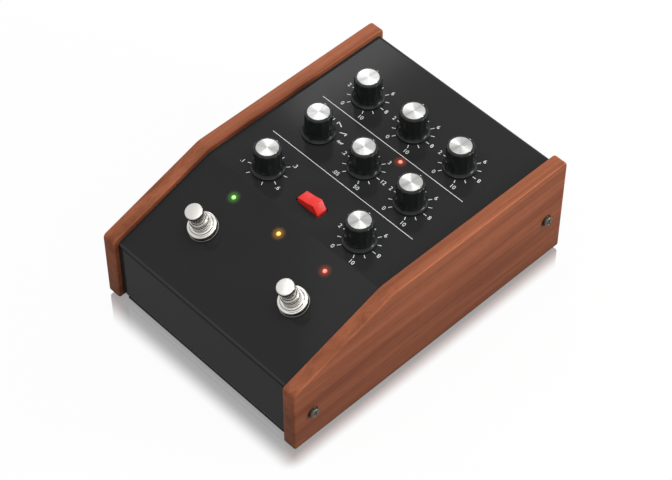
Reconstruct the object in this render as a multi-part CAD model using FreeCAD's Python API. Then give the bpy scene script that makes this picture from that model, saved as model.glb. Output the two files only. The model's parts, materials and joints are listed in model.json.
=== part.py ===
import FreeCAD, Part
import math
import os
from FreeCAD import Vector

# Analog delay pedal: a folded steel cover, a rear panel and a base tray between two wooden
# cheeks, with eight dials, a rocker and two footswitches on top and the jacks at the rear.
# Millimetres. +X is the player's right, +Y the rear, +Z up. The origin lies on the resting
# surface, under the centre of the footprint. "From front" is measured from the cheeks' front.

# Whole pedal
BODY_WIDTH = 170.0
BODY_DEPTH = 230.0
FOOT_HEIGHT = 2.5

# How far a drill runs past the faces it cuts, and the length below which two points are one
OVERCUT = 1.0
TINY = 0.01

# Wooden cheeks
CHEEK_THICKNESS = 10.0
CHEEK_FRONT_HEIGHT = 52.7
CHEEK_REAR_HEIGHT = 78.5
KINK_FROM_FRONT = 79.0
CHEEK_TOP_CORNER = 3.5
CHEEK_FOOT_CORNER = 1.6
CHEEK_KINK_ROUND = 14.0
CHEEK_EDGE_ROUND = 1.2

# Folded steel cover and rear panel
SHEET = 1.5
COVER_RECESS = 3.7
COVER_FRONT_INSET = 3.5
COVER_REAR_INSET = 2.7
COVER_SIDE_GAP = 0.1
FOLD_RADIUS = 3.0
KINK_FOLD_RADIUS = 6.0
REAR_LIP_HEIGHT = 9.0
FLANGE_LENGTH = 14.0
FLANGE_RELIEF = 4.0

# Base tray
TRAY_LIFT = 0.3
TRAY_BEND_RADIUS = 2.0
TRAY_EDGE_INSET = 0.6
WALL_GAP = 0.2

# Self-adhesive feet and the screws under the pedal
FOOT_RADIUS = 7.0
FOOT_TAPER = 0.8
FOOT_FROM_CENTRE = 60.0
FOOT_FROM_END = 28.0
THREAD_GAP = 0.02
BASE_SCREW_RADIUS = 1.5
BASE_HEAD_RADIUS = 2.8
BASE_HEAD_HEIGHT = 1.8
BASE_SCREW_LENGTH = 6.0
BASE_SCREW_FROM_CENTRE = 50.0
BASE_SCREW_FROM_EDGE = 8.0
HEAD_CHAMFER_SHARE = 0.4

# Screws through the cheeks
CHEEK_SCREW_FROM_END = 15.0
FRONT_CHEEK_SCREW_HEIGHT = 25.0
REAR_CHEEK_SCREW_HEIGHT = 35.4
CHEEK_SCREW_RADIUS = 2.0
CHEEK_SCREW_GAP = 0.25
CHEEK_HEAD_RADIUS = 3.4
CHEEK_HEAD_HEIGHT = 1.9
CUP_WASHER_RADIUS = 4.2
CUP_WASHER_HEIGHT = 0.8
CUP_WASHER_LIP = 0.3
PRESS_NUT_ACROSS_FLATS = 7.0
PRESS_NUT_HEIGHT = 3.0

# Dials
DIAL_COLUMN_PITCH = 40.0
REAR_ROW_FROM_FRONT = 181.6
MIDDLE_ROW_FROM_FRONT = 138.9
FRONT_ROW_FROM_FRONT = 96.2
DIAL_PLACES = {
    "drive": (-1, REAR_ROW_FROM_FRONT),
    "level": (0, REAR_ROW_FROM_FRONT),
    "mix": (1, REAR_ROW_FROM_FRONT),
    "lfo": (-1, MIDDLE_ROW_FROM_FRONT),
    "rate": (0, MIDDLE_ROW_FROM_FRONT),
    "amount": (1, MIDDLE_ROW_FROM_FRONT),
    "time": (-1, FRONT_ROW_FROM_FRONT),
    "feedback": (1, FRONT_ROW_FROM_FRONT),
}
SELECTOR = "lfo"
SELECTOR_TURN_AT_REST = 15.0
POT_WIDTH = 9.8
POT_FORE = 6.5
POT_AFT = 5.0
POT_DEPTH = 7.0
SELECTOR_BODY_SIDE = 17.4
SELECTOR_BODY_CHAMFER = 2.5
BUSHING_RADIUS = 3.5
BUSHING_ABOVE_PANEL = 3.4
BUSHING_HOLE_GAP = 0.15
CONTROL_NUT_ACROSS_FLATS = 10.0
CONTROL_NUT_HEIGHT = 2.2
SHAFT_RADIUS = 3.0
SHAFT_RUNNING_GAP = 0.05
SHAFT_INTO_BODY = 5.0
SHAFT_ABOVE_PANEL = 13.5
SHAFT_FLAT_DEPTH = 1.2
SHAFT_FLAT_LENGTH = 7.0

# Knobs
KNOB_LIFT = 0.7
SKIRT_RADIUS = 10.7
SKIRT_EDGE_HEIGHT = 0.9
SKIRT_TOP_RADIUS = 9.1
SKIRT_HOLLOW = 0.35
GRIP_BASE_RADIUS = 8.95
GRIP_BASE_HEIGHT = 4.3
GRIP_TOP_RADIUS = 8.95
KNOB_HEIGHT = 19.0
KNOB_RIM_CHAMFER = 0.6
FLUTE_COUNT = 12
FLUTE_DEPTH = 0.4
RIDGE_WIDTH = 1.1
CAP_RADIUS = 7.1
CAP_THICKNESS = 1.2
CAP_SINK = 0.7
CAP_EDGE_CHAMFER = 0.2
KNOB_HOLLOW_RADIUS = 7.0
KNOB_HOLLOW_HEIGHT = 4.0
BORE_GAP = 0.02

# Rocker
ROCKER_FROM_FRONT = 95.3
ROCKER_PIVOT_DEPTH = 3.2
ROCKER_TILT = 12.0
ROCKER_TOP_HALF_LENGTH = 6.9
ROCKER_TOP_ABOVE_PIVOT = 8.2
ROCKER_SHOULDER_HALF_LENGTH = 9.3
ROCKER_SHOULDER_ABOVE_PIVOT = 3.6
ROCKER_BELOW_PIVOT = 2.0
ROCKER_WIDTH = 7.9
ROCKER_DISH = 0.35
ROCKER_EDGE_ROUND = 0.5
ROCKER_PIN_RADIUS = 0.9
ROCKER_PIN_LENGTH = 1.2
ROCKER_END_GAP = 0.3
ROCKER_SIDE_GAP = 0.3
ROCKER_WALL = 1.6
ROCKER_CAVITY_BELOW_PIVOT = 4.4

# Footswitches
FOOTSWITCH_COLUMN = 40.0
FOOTSWITCH_BELOW_KINK = 38.8
SWITCH_BUSHING_RADIUS = 6.0
SWITCH_BUSHING_HEIGHT = 12.4
SWITCH_BUSHING_CHAMFER = 0.5
SWITCH_BODY_SIDE = 17.0
SWITCH_BODY_DEPTH = 14.0
SWITCH_LUG_WIDTH = 2.0
SWITCH_LUG_THICKNESS = 0.8
SWITCH_LUG_PITCH = 4.8
DRESS_WASHER_RADIUS = 9.8
DRESS_WASHER_THICKNESS = 0.8
DRESS_NUT_RADIUS = 9.5
DRESS_NUT_UNDERCUT_RADIUS = 8.3
DRESS_NUT_UNDERCUT = 1.6
DRESS_NUT_RIM = 3.4
DRESS_NUT_SHOULDER_RADIUS = 7.4
DRESS_NUT_HEIGHT = 4.8
DRESS_NUT_CHAMFER = 0.5
PLUNGER_NECK_RADIUS = 4.6
PLUNGER_GAP = 0.08
PLUNGER_CAP_RADIUS = 5.7
PLUNGER_CAP_HEIGHT = 3.0
PLUNGER_TOP = 21.9
PLUNGER_CAP_ROUND = 0.8
PLUNGER_INTO_BODY = 6.0
PLUNGER_TRAVEL = 3.2
PLUNGER_STOP_GAP = 0.5

# Lamps
LED_RADIUS = 1.5
LED_FLANGE_RADIUS = 1.9
LED_FLANGE_HEIGHT = 0.8
LED_ABOVE_PANEL = 0.8
LED_BELOW_PANEL = 3.0
LED_HOLE_GAP = 0.1
LED_LEG_SIDE = 0.5
LED_LEG_PITCH = 1.27
RATE_LED_PLACE = (12.0, 158.5)
SLOPE_LED_PITCH = 40.0
SLOPE_LEDS = {"time_led": -SLOPE_LED_PITCH, "level_led": 0.0, "bypass_led": SLOPE_LED_PITCH}
SLOPE_LED_BELOW_KINK = 12.5

# Circuit boards
BOARD = 1.6
BOARD_MARGIN = 12.0
CONTROL_BOARD_SIDE_GAP = 7.5
FRONT_BOARD_DEPTH = 18.0
FRONT_BOARD_BELOW_KINK = 6.0
JACK_BOARD_LENGTH = 40.0
JACK_BOARD_FROM_PANEL = 1.5
CHIP_LENGTH = 19.0
CHIP_WIDTH = 6.5
CHIP_HEIGHT = 3.6
CHIP_COLUMNS = 4
CHIP_PITCH = 30.0
CHIP_ROW_PITCH = 18.0
FIRST_CHIP_ROW_FROM_FRONT = 110.0
CAPACITOR_RADIUS = 3.15
CAPACITOR_HEIGHT = 11.0
CAPACITOR_COUNT = 6
CAPACITOR_PITCH = 20.0
CAPACITORS_FROM_FRONT = 150.0

# Flat cables between the boards
RIBBON_THICKNESS = 0.9
RIBBON_WIDTH = 16.0
HEADER_DEPTH = 6.0
HEADER_HEIGHT = 6.0
HEADER_EXTRA_WIDTH = 2.0
REAR_HEADER_FROM_BOARD_END = 6.0
REAR_RIBBON_REACH = 6.0
REAR_RIBBON_BEND = 6.0
LOWER_HEADER_BELOW_KINK = 18.0
UPPER_HEADER_FROM_BOARD_END = 9.0
FRONT_RIBBON_RUN = 8.0
FRONT_RIBBON_BEND = 3.0

# Rear jacks
JACK_COUNT = 6
JACK_HEIGHT = 47.0
REAR_SIDE_GAP = 1.0
JACK_BODY_WIDTH = 16.0
JACK_BODY_HEIGHT = 15.0
JACK_BODY_DEPTH = 25.0
JACK_BUSHING_RADIUS = 4.5
JACK_BUSHING_OUTSIDE = 4.0
JACK_BORE_RADIUS = 3.25
JACK_BORE_LENGTH = 29.0
JACK_HOLE_GAP = 0.2
JACK_NUT_ACROSS_FLATS = 12.0
JACK_NUT_HEIGHT = 2.4

# Power inlet
INLET_WIDTH = 9.0
INLET_FROM_LAST_JACK = 15.0
INLET_HEIGHT = 11.0
INLET_DEPTH = 14.0
INLET_SLEEVE_RADIUS = 4.2
INLET_HOLE_GAP = 0.2
INLET_BORE_RADIUS = 3.15
INLET_BORE_LENGTH = 9.5
INLET_PIN_RADIUS = 1.0
INLET_PIN_LENGTH = 9.0

# Sizes that follow from the ones above
UP = Vector(0, 0, 1)
CHEEK_INNER_X = BODY_WIDTH / 2 - CHEEK_THICKNESS
SLOPE = math.atan2(CHEEK_REAR_HEIGHT - CHEEK_FRONT_HEIGHT, KINK_FROM_FRONT)
SLOPE_DEGREES = math.degrees(SLOPE)
PANEL_Z = FOOT_HEIGHT + CHEEK_REAR_HEIGHT - COVER_RECESS
TRAY_BOTTOM = FOOT_HEIGHT + TRAY_LIFT
TRAY_TOP = TRAY_BOTTOM + SHEET
COVER_HALF_WIDTH = CHEEK_INNER_X - COVER_SIDE_GAP
CONTROL_BOARD_TOP = PANEL_Z - SHEET - POT_DEPTH
JACK_Z = FOOT_HEIGHT + JACK_HEIGHT
JACK_BOARD_TOP = JACK_Z - JACK_BODY_HEIGHT / 2
REAR_HALF_WIDTH = CHEEK_INNER_X - SHEET - PRESS_NUT_HEIGHT - REAR_SIDE_GAP
FIRST_JACK_X = JACK_BODY_WIDTH / 2 - REAR_HALF_WIDTH
INLET_X = REAR_HALF_WIDTH - INLET_WIDTH / 2
INLET_Z = JACK_BOARD_TOP + INLET_HEIGHT / 2
JACK_PITCH = (INLET_X - INLET_FROM_LAST_JACK - FIRST_JACK_X) / (JACK_COUNT - 1)


def from_front(distance):
    """Y of a point that lies this far behind the cheeks' front face."""
    return distance - BODY_DEPTH / 2


COVER_FRONT_Y = from_front(COVER_FRONT_INSET)
COVER_REAR_Y = from_front(BODY_DEPTH - COVER_REAR_INSET)
REAR_PANEL_Y = COVER_REAR_Y - SHEET
COVER_KINK = Vector(0, from_front(KINK_FROM_FRONT) + COVER_RECESS * math.tan(SLOPE / 2), PANEL_Z)


# Helpers for shapes


def box(x_span, y_span, z_span):
    """Box between two values on each axis."""
    size = [high - low for low, high in (x_span, y_span, z_span)]
    return Part.makeBox(*size, Vector(x_span[0], y_span[0], z_span[0]))


def centred_box(width, depth, z_span):
    """Box centred on the Z axis."""
    return box((-width / 2, width / 2), (-depth / 2, depth / 2), z_span)


def rod(radius, low, high, x=0.0, y=0.0):
    """Upright cylinder between two heights."""
    return Part.makeCylinder(radius, high - low, Vector(x, y, low), UP)


def tube(outer, inner, low, high):
    """Upright ring between two heights."""
    return rod(outer, low, high).cut(rod(inner, low, high))


def hex_nut(across_flats, bore, low, high):
    """Six-sided nut between two heights."""
    corner_radius = across_flats / math.sqrt(3)
    corners = []
    for step in range(7):
        angle = math.radians(60 * step)
        corners.append(Vector(corner_radius * math.cos(angle), corner_radius * math.sin(angle), low))
    return Part.Face(Part.makePolygon(corners)).extrude(UP * (high - low)).cut(rod(bore, low, high))


def spun(profile):
    """Solid of revolution about Z from a closed wire in the XZ plane."""
    return Part.Face(profile).revolve(Vector(), UP, 360)


def round_corner(before, corner, after, radius):
    """Start, middle and end of the arc that rounds a corner between two straight runs."""
    to_before = (before - corner).normalize()
    to_after = (after - corner).normalize()
    half_angle = to_before.getAngle(to_after) / 2
    bisector = (to_before + to_after).normalize()
    reach = radius / math.tan(half_angle)
    middle = corner + bisector * (radius / math.sin(half_angle) - radius)
    return corner + to_before * reach, middle, corner + to_after * reach


def outline(corners):
    """Closed wire through (point, radius) corners, each rounded by its radius."""
    points = [point for point, radius in corners]
    stops = []
    for index, (point, radius) in enumerate(corners):
        if radius == 0:
            stops.append((point, None, point))
        else:
            following = points[(index + 1) % len(points)]
            stops.append(round_corner(points[index - 1], point, following, radius))
    edges = []
    for index, (start, middle, end) in enumerate(stops):
        if middle is not None:
            edges.append(Part.Arc(start, middle, end).toShape())
        next_start = stops[(index + 1) % len(stops)][0]
        if (next_start - end).Length > TINY:
            edges.append(Part.makeLine(end, next_start))
    return Part.Wire(edges)


def right_of(direction):
    """Unit vector to the right of a direction in the YZ plane, seen from +X with Y to the right."""
    return Vector(0, direction.z, -direction.y).normalize()


def offset_path(path, distance):
    """Open path of (point, radius) corners shifted to its right, with its bends kept parallel."""
    points = [point for point, radius in path]
    sides = [right_of(after - before) for before, after in zip(points, points[1:])]
    shifted = []
    for index, (point, radius) in enumerate(path):
        before = sides[max(index - 1, 0)]
        after = sides[min(index, len(sides) - 1)]
        mitre = (before + after) * (distance / (1 + before.dot(after)))
        turns_right = before.cross(after).x < 0
        new_radius = radius - distance if turns_right else radius + distance
        shifted.append((point + mitre, new_radius if radius else 0))
    return shifted


def strip(path, thickness, half_width):
    """Sheet along a path in the YZ plane, its outer face on the path, centred across X."""
    inner = offset_path(path, thickness)
    face = Part.Face(outline(path + inner[::-1]))
    face.translate(Vector(-half_width, 0, 0))
    return face.extrude(Vector(2 * half_width, 0, 0))


def side_point(distance_from_front, z):
    """Point in the YZ plane, placed by its distance from the front."""
    return Vector(0, from_front(distance_from_front), z)


def moved(shape, placement):
    """Copy of a shape carried to a placement."""
    copy = shape.copy()
    copy.Placement = placement.multiply(copy.Placement)
    return copy


def on_panel(x, distance_from_front, turn=0.0):
    """Placement on the flat rear part of the cover, its Z up and zero at the painted face."""
    return FreeCAD.Placement(Vector(x, from_front(distance_from_front), PANEL_Z), FreeCAD.Rotation(UP, turn))


def on_slope(x, below_kink):
    """Placement on the sloping front part of the cover, its Z square to the painted face."""
    down = Vector(0, -math.cos(SLOPE), -math.sin(SLOPE)) * below_kink
    across = FreeCAD.Rotation(Vector(1, 0, 0), SLOPE_DEGREES)
    return FreeCAD.Placement(COVER_KINK + down + Vector(x, 0, 0), across)


def on_rear(x, z):
    """Placement on the rear panel, its Z pointing out of the panel and its Y pointing down."""
    return FreeCAD.Placement(Vector(x, REAR_PANEL_Y, z), FreeCAD.Rotation(Vector(1, 0, 0), -90))


def on_cheek(side, distance_from_front, height):
    """Placement on a cheek's outer face, its Z pointing away from the pedal."""
    place = Vector(side * BODY_WIDTH / 2, from_front(distance_from_front), FOOT_HEIGHT + height)
    return FreeCAD.Placement(place, FreeCAD.Rotation(Vector(0, 1, 0), side * 90))


def save(name, *solids):
    """Write one node, as one solid or as a group of separate solids."""
    shape = solids[0] if len(solids) == 1 else Part.makeCompound(list(solids))
    shape.exportStep(os.path.join("parts", name + ".step"))


def cut_all(shape, tools):
    """Shape with every tool taken away."""
    return shape.cut(list(tools))


# Places that several pieces share


def dial_placements():
    """Name and placement of each dial; the selector rests turned to its third position."""
    places = {}
    for name, (column, row) in DIAL_PLACES.items():
        turn = SELECTOR_TURN_AT_REST if name == SELECTOR else 0.0
        places[name] = on_panel(column * DIAL_COLUMN_PITCH, row, turn)
    return places


def footswitch_placements():
    """Name and placement of each footswitch on the slope."""
    return {
        "tempo": on_slope(-FOOTSWITCH_COLUMN, FOOTSWITCH_BELOW_KINK),
        "bypass": on_slope(FOOTSWITCH_COLUMN, FOOTSWITCH_BELOW_KINK),
    }


def led_placements():
    """Name, placement and board depth of each lamp."""
    places = {"rate_led": (on_panel(*RATE_LED_PLACE), SHEET + POT_DEPTH)}
    for name, x in SLOPE_LEDS.items():
        places[name] = (on_slope(x, SLOPE_LED_BELOW_KINK), FRONT_BOARD_DEPTH)
    return places


def cheek_screw_placements():
    """Placement of each cheek screw on the outer face of its cheek."""
    front = (CHEEK_SCREW_FROM_END, FRONT_CHEEK_SCREW_HEIGHT)
    rear = (BODY_DEPTH - CHEEK_SCREW_FROM_END, REAR_CHEEK_SCREW_HEIGHT)
    return {side: [on_cheek(side, *front), on_cheek(side, *rear)] for side in (-1, 1)}


def base_screw_places():
    """X and Y of the screws that hold the tray to the flanges of the cover and the rear panel."""
    rows = (COVER_FRONT_Y + BASE_SCREW_FROM_EDGE, COVER_REAR_Y - BASE_SCREW_FROM_EDGE)
    return [(x, y) for y in rows for x in (-BASE_SCREW_FROM_CENTRE, BASE_SCREW_FROM_CENTRE)]


def base_screw_drills():
    """Drills for those screws, through the tray's floor and the flanges on it."""
    radius = BASE_SCREW_RADIUS + THREAD_GAP
    span = (TRAY_BOTTOM - OVERCUT, TRAY_TOP + SHEET + OVERCUT)
    return [rod(radius, *span, x, y) for x, y in base_screw_places()]


def foot_places():
    """X and Y of the four feet."""
    rows = (from_front(FOOT_FROM_END), from_front(BODY_DEPTH - FOOT_FROM_END))
    return [(x, y) for y in rows for x in (-FOOT_FROM_CENTRE, FOOT_FROM_CENTRE)]


def jack_placements():
    """Placement of each jack on the rear wall."""
    return [on_rear(FIRST_JACK_X + index * JACK_PITCH, JACK_Z) for index in range(JACK_COUNT)]


# Casing


def cover_path():
    """Outer face of the folded cover, from the front flange round to the lip over the rear panel."""
    front_top_drop = (COVER_KINK.y - COVER_FRONT_Y) * math.tan(SLOPE)
    return [
        (Vector(0, COVER_FRONT_Y + FLANGE_LENGTH, TRAY_TOP), 0),
        (Vector(0, COVER_FRONT_Y, TRAY_TOP), FOLD_RADIUS),
        (Vector(0, COVER_FRONT_Y, PANEL_Z - front_top_drop), FOLD_RADIUS),
        (COVER_KINK, KINK_FOLD_RADIUS),
        (Vector(0, COVER_REAR_Y, PANEL_Z), FOLD_RADIUS),
        (Vector(0, COVER_REAR_Y, PANEL_Z - REAR_LIP_HEIGHT), 0),
    ]


def flange_relief(y_span):
    """Blocks that shorten a flange at both ends, clear of the tray's side walls."""
    blocks = []
    for side in (-1, 1):
        edge = side * (COVER_HALF_WIDTH - FLANGE_RELIEF)
        far = side * (COVER_HALF_WIDTH + OVERCUT)
        x_span = (min(edge, far), max(edge, far))
        blocks.append(box(x_span, y_span, (TRAY_TOP - OVERCUT, TRAY_TOP + FOLD_RADIUS)))
    return blocks


def cover_holes():
    """Drills for everything that passes through the cover."""
    drills = []
    deep = SHEET + OVERCUT
    for place in dial_placements().values():
        drills.append(moved(rod(BUSHING_RADIUS + BUSHING_HOLE_GAP, -deep, OVERCUT), place))
    for place in footswitch_placements().values():
        drills.append(moved(rod(SWITCH_BUSHING_RADIUS + BUSHING_HOLE_GAP, -deep, OVERCUT), place))
    for place, depth in led_placements().values():
        drills.append(moved(rod(LED_RADIUS + LED_HOLE_GAP, -deep, OVERCUT), place))
    slot = centred_box(2 * rocker_slot_half_length(), ROCKER_WIDTH + 2 * ROCKER_SIDE_GAP, (-deep, OVERCUT))
    drills.append(moved(slot, on_panel(0, ROCKER_FROM_FRONT)))
    drills += base_screw_drills()
    return drills


def make_cover():
    """Cover folded from one sheet: front wall, sloping deck, flat deck and rear lip."""
    cover = strip(cover_path(), SHEET, COVER_HALF_WIDTH)
    flange_end = COVER_FRONT_Y + FLANGE_LENGTH + OVERCUT
    return cut_all(cover, flange_relief((COVER_FRONT_Y + SHEET, flange_end)) + cover_holes())


def make_rear_panel():
    """Panel behind the cover's lip, folded forward onto the tray, with the holes for the sockets."""
    path = [
        (Vector(0, REAR_PANEL_Y, PANEL_Z - FOLD_RADIUS), 0),
        (Vector(0, REAR_PANEL_Y, TRAY_TOP), FOLD_RADIUS),
        (Vector(0, REAR_PANEL_Y - FLANGE_LENGTH, TRAY_TOP), 0),
    ]
    panel = strip(path, SHEET, COVER_HALF_WIDTH)
    drills = base_screw_drills()
    hole = rod(JACK_BUSHING_RADIUS + JACK_HOLE_GAP, -SHEET - OVERCUT, OVERCUT)
    drills += [moved(hole, place) for place in jack_placements()]
    inlet_hole = rod(INLET_SLEEVE_RADIUS + INLET_HOLE_GAP, -SHEET - OVERCUT, OVERCUT)
    drills.append(moved(inlet_hole, on_rear(INLET_X, INLET_Z)))
    flange_end = REAR_PANEL_Y - FLANGE_LENGTH - OVERCUT
    return cut_all(panel, flange_relief((flange_end, REAR_PANEL_Y - SHEET)) + drills)


def make_tray():
    """Tray with a flat floor and two upright side walls that follow the underside of the cover."""
    floor_z = TRAY_BOTTOM
    wall_x = CHEEK_INNER_X
    shell = [
        (Vector(-wall_x, 0, PANEL_Z), 0),
        (Vector(-wall_x, 0, floor_z), TRAY_BEND_RADIUS),
        (Vector(wall_x, 0, floor_z), TRAY_BEND_RADIUS),
        (Vector(wall_x, 0, PANEL_Z), 0),
        (Vector(wall_x - SHEET, 0, PANEL_Z), 0),
        (Vector(wall_x - SHEET, 0, floor_z + SHEET), TRAY_BEND_RADIUS - SHEET),
        (Vector(SHEET - wall_x, 0, floor_z + SHEET), TRAY_BEND_RADIUS - SHEET),
        (Vector(SHEET - wall_x, 0, PANEL_Z), 0),
    ]
    section = Part.Face(outline(shell))
    section.translate(Vector(0, -BODY_DEPTH / 2, 0))
    channel = section.extrude(Vector(0, BODY_DEPTH, 0))
    under_cover = [point for point, radius in offset_path(cover_path(), SHEET + WALL_GAP)[1:]]
    under_cover[0].z = floor_z - OVERCUT
    under_cover[-1].z = floor_z - OVERCUT
    for point in under_cover[-2:]:
        point.y = REAR_PANEL_Y - SHEET - WALL_GAP
    radii = (0, FOLD_RADIUS, KINK_FOLD_RADIUS, 0, 0)
    profile = Part.Face(outline(list(zip(under_cover, radii))))
    profile.translate(Vector(-BODY_WIDTH, 0, 0))
    tray = channel.common(profile.extrude(Vector(2 * BODY_WIDTH, 0, 0)))
    half = COVER_HALF_WIDTH - FLANGE_RELIEF
    ends = (COVER_FRONT_Y + TRAY_EDGE_INSET, REAR_PANEL_Y - TRAY_EDGE_INSET)
    tray = tray.fuse(box((-half, half), ends, (floor_z, floor_z + SHEET))).removeSplitter()
    drill = rod(CHEEK_SCREW_RADIUS + CHEEK_SCREW_GAP, -CHEEK_THICKNESS - SHEET - OVERCUT, 0)
    drills = [moved(drill, place) for places in cheek_screw_placements().values() for place in places]
    return cut_all(tray, drills + base_screw_drills())


def make_cheek(side):
    """Wooden cheek with rounded edges and its two screw holes."""
    low = FOOT_HEIGHT
    corners = [
        (side_point(0, low), CHEEK_FOOT_CORNER),
        (side_point(0, low + CHEEK_FRONT_HEIGHT), CHEEK_TOP_CORNER),
        (side_point(KINK_FROM_FRONT, low + CHEEK_REAR_HEIGHT), CHEEK_KINK_ROUND),
        (side_point(BODY_DEPTH, low + CHEEK_REAR_HEIGHT), CHEEK_TOP_CORNER),
        (side_point(BODY_DEPTH, low), CHEEK_FOOT_CORNER),
    ]
    face = Part.Face(outline(corners))
    face.translate(Vector(side * CHEEK_INNER_X, 0, 0))
    cheek = face.extrude(Vector(side * CHEEK_THICKNESS, 0, 0))
    rims = [edge for edge in cheek.Edges if edge.BoundBox.XLength < TINY]
    cheek = cheek.makeFillet(CHEEK_EDGE_ROUND, rims)
    hole = rod(CHEEK_SCREW_RADIUS + CHEEK_SCREW_GAP, -CHEEK_THICKNESS - OVERCUT, OVERCUT)
    return cut_all(cheek, [moved(hole, place) for place in cheek_screw_placements()[side]])


def screw(shank_radius, head_radius, head_height, length):
    """Pan-head screw along Z: the head sits on zero and the shank runs down."""
    bevel = head_height * HEAD_CHAMFER_SHARE
    corners = [
        Vector(0, 0, head_height), Vector(0, 0, -length), Vector(shank_radius, 0, -length),
        Vector(shank_radius, 0, 0), Vector(head_radius, 0, 0), Vector(head_radius, 0, head_height - bevel),
        Vector(head_radius - bevel, 0, head_height), Vector(0, 0, head_height),
    ]
    return spun(Part.makePolygon(corners))


def make_cheek_screws():
    """Screws, cup washers and press nuts that hold the cheeks to the tray's walls."""
    length = CHEEK_THICKNESS + SHEET + PRESS_NUT_HEIGHT + CUP_WASHER_HEIGHT
    bolt = screw(CHEEK_SCREW_RADIUS, CHEEK_HEAD_RADIUS, CHEEK_HEAD_HEIGHT, length)
    bolt.translate(UP * CUP_WASHER_HEIGHT)
    hole = CHEEK_SCREW_RADIUS + CHEEK_SCREW_GAP
    washer = Part.makeCone(CUP_WASHER_RADIUS, CHEEK_HEAD_RADIUS + CUP_WASHER_LIP, CUP_WASHER_HEIGHT)
    washer = washer.cut(rod(hole, 0, CUP_WASHER_HEIGHT))
    nut_top = -CHEEK_THICKNESS - SHEET
    thread = CHEEK_SCREW_RADIUS + THREAD_GAP
    nut = hex_nut(PRESS_NUT_ACROSS_FLATS, thread, nut_top - PRESS_NUT_HEIGHT, nut_top)
    places = [place for group in cheek_screw_placements().values() for place in group]
    save("cheek_screws", *[moved(bolt, place) for place in places])
    save("cheek_washers", *[moved(washer, place) for place in places])
    save("press_nuts", *[moved(nut, place) for place in places])


def make_underside():
    """Rubber feet stuck to the tray, and the screws that close the case."""
    foot = Part.makeCone(FOOT_RADIUS - FOOT_TAPER, FOOT_RADIUS, TRAY_BOTTOM)
    save("rubber_feet", *[foot.translated(Vector(x, y, 0)) for x, y in foot_places()])
    upside_down = FreeCAD.Rotation(Vector(1, 0, 0), 180)
    bolt = screw(BASE_SCREW_RADIUS, BASE_HEAD_RADIUS, BASE_HEAD_HEIGHT, BASE_SCREW_LENGTH)
    places = [FreeCAD.Placement(Vector(x, y, TRAY_BOTTOM), upside_down) for x, y in base_screw_places()]
    save("base_screws", *[moved(bolt, place) for place in places])


# Dials


def control_body(body):
    """Body of a control with its bushing and the blind bore for its shaft."""
    body = body.fuse(rod(BUSHING_RADIUS, -SHEET - OVERCUT, BUSHING_ABOVE_PANEL)).removeSplitter()
    return body.cut(rod(SHAFT_RADIUS + SHAFT_RUNNING_GAP, -SHEET - SHAFT_INTO_BODY, BUSHING_ABOVE_PANEL))


def make_pot():
    """Square-bodied potentiometer under the panel, longer towards its terminals."""
    half = POT_WIDTH / 2
    return control_body(box((-half, half), (-POT_FORE, POT_AFT), (-SHEET - POT_DEPTH, -SHEET)))


def make_selector_body():
    """Rotary switch of the modulation selector, with chamfered corners."""
    half = SELECTOR_BODY_SIDE / 2
    inner = half - SELECTOR_BODY_CHAMFER
    ring = [(half, -inner), (half, inner), (inner, half), (-inner, half)]
    ring += [(-x, -y) for x, y in ring]
    corners = [Vector(x, y, -SHEET - POT_DEPTH) for x, y in ring]
    return control_body(Part.Face(Part.makePolygon(corners + corners[:1])).extrude(UP * POT_DEPTH))


def shaft_flat(gap):
    """Block beside the flat at a shaft's upper end, this far from it."""
    near = SHAFT_RADIUS - SHAFT_FLAT_DEPTH + gap
    heights = (SHAFT_ABOVE_PANEL - SHAFT_FLAT_LENGTH, SHAFT_ABOVE_PANEL)
    return box((-SHAFT_RADIUS, SHAFT_RADIUS), (near, SHAFT_RADIUS + OVERCUT), heights)


def make_shaft():
    """Control shaft with a flat at its upper end."""
    low = -SHEET - SHAFT_INTO_BODY + SHAFT_RUNNING_GAP
    return rod(SHAFT_RADIUS, low, SHAFT_ABOVE_PANEL).cut(shaft_flat(0))


def make_skirt():
    """Knob skirt that flares out in two slopes, the lower one flatter."""
    edge = (SKIRT_RADIUS, KNOB_LIFT + SKIRT_EDGE_HEIGHT)
    top = (SKIRT_TOP_RADIUS, GRIP_BASE_HEIGHT)
    waist = ((edge[0] + top[0]) / 2 - SKIRT_HOLLOW, (edge[1] + top[1]) / 2 - SKIRT_HOLLOW)
    corners = [(0, KNOB_LIFT), (SKIRT_RADIUS, KNOB_LIFT), edge, waist, top, (0, GRIP_BASE_HEIGHT)]
    points = [Vector(radius, 0, z) for radius, z in corners]
    return spun(Part.makePolygon(points + points[:1]))


def grip_section(ridge_radius, z):
    """Outline of the grip at one height: narrow flat ridges joined by hollow flutes."""
    step = 2 * math.pi / FLUTE_COUNT
    half_ridge = math.asin(RIDGE_WIDTH / 2 / ridge_radius)

    def at(radius, angle):
        return Vector(radius * math.sin(angle), radius * math.cos(angle), z)

    edges = []
    for index in range(FLUTE_COUNT):
        middle = index * step
        start = at(ridge_radius, middle - step / 2 + half_ridge)
        end = at(ridge_radius, middle + step / 2 - half_ridge)
        edges.append(Part.Arc(start, at(ridge_radius - FLUTE_DEPTH, middle), end).toShape())
        edges.append(Part.makeLine(end, at(ridge_radius, middle + step / 2 + half_ridge)))
    return Part.Wire(edges)


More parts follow.
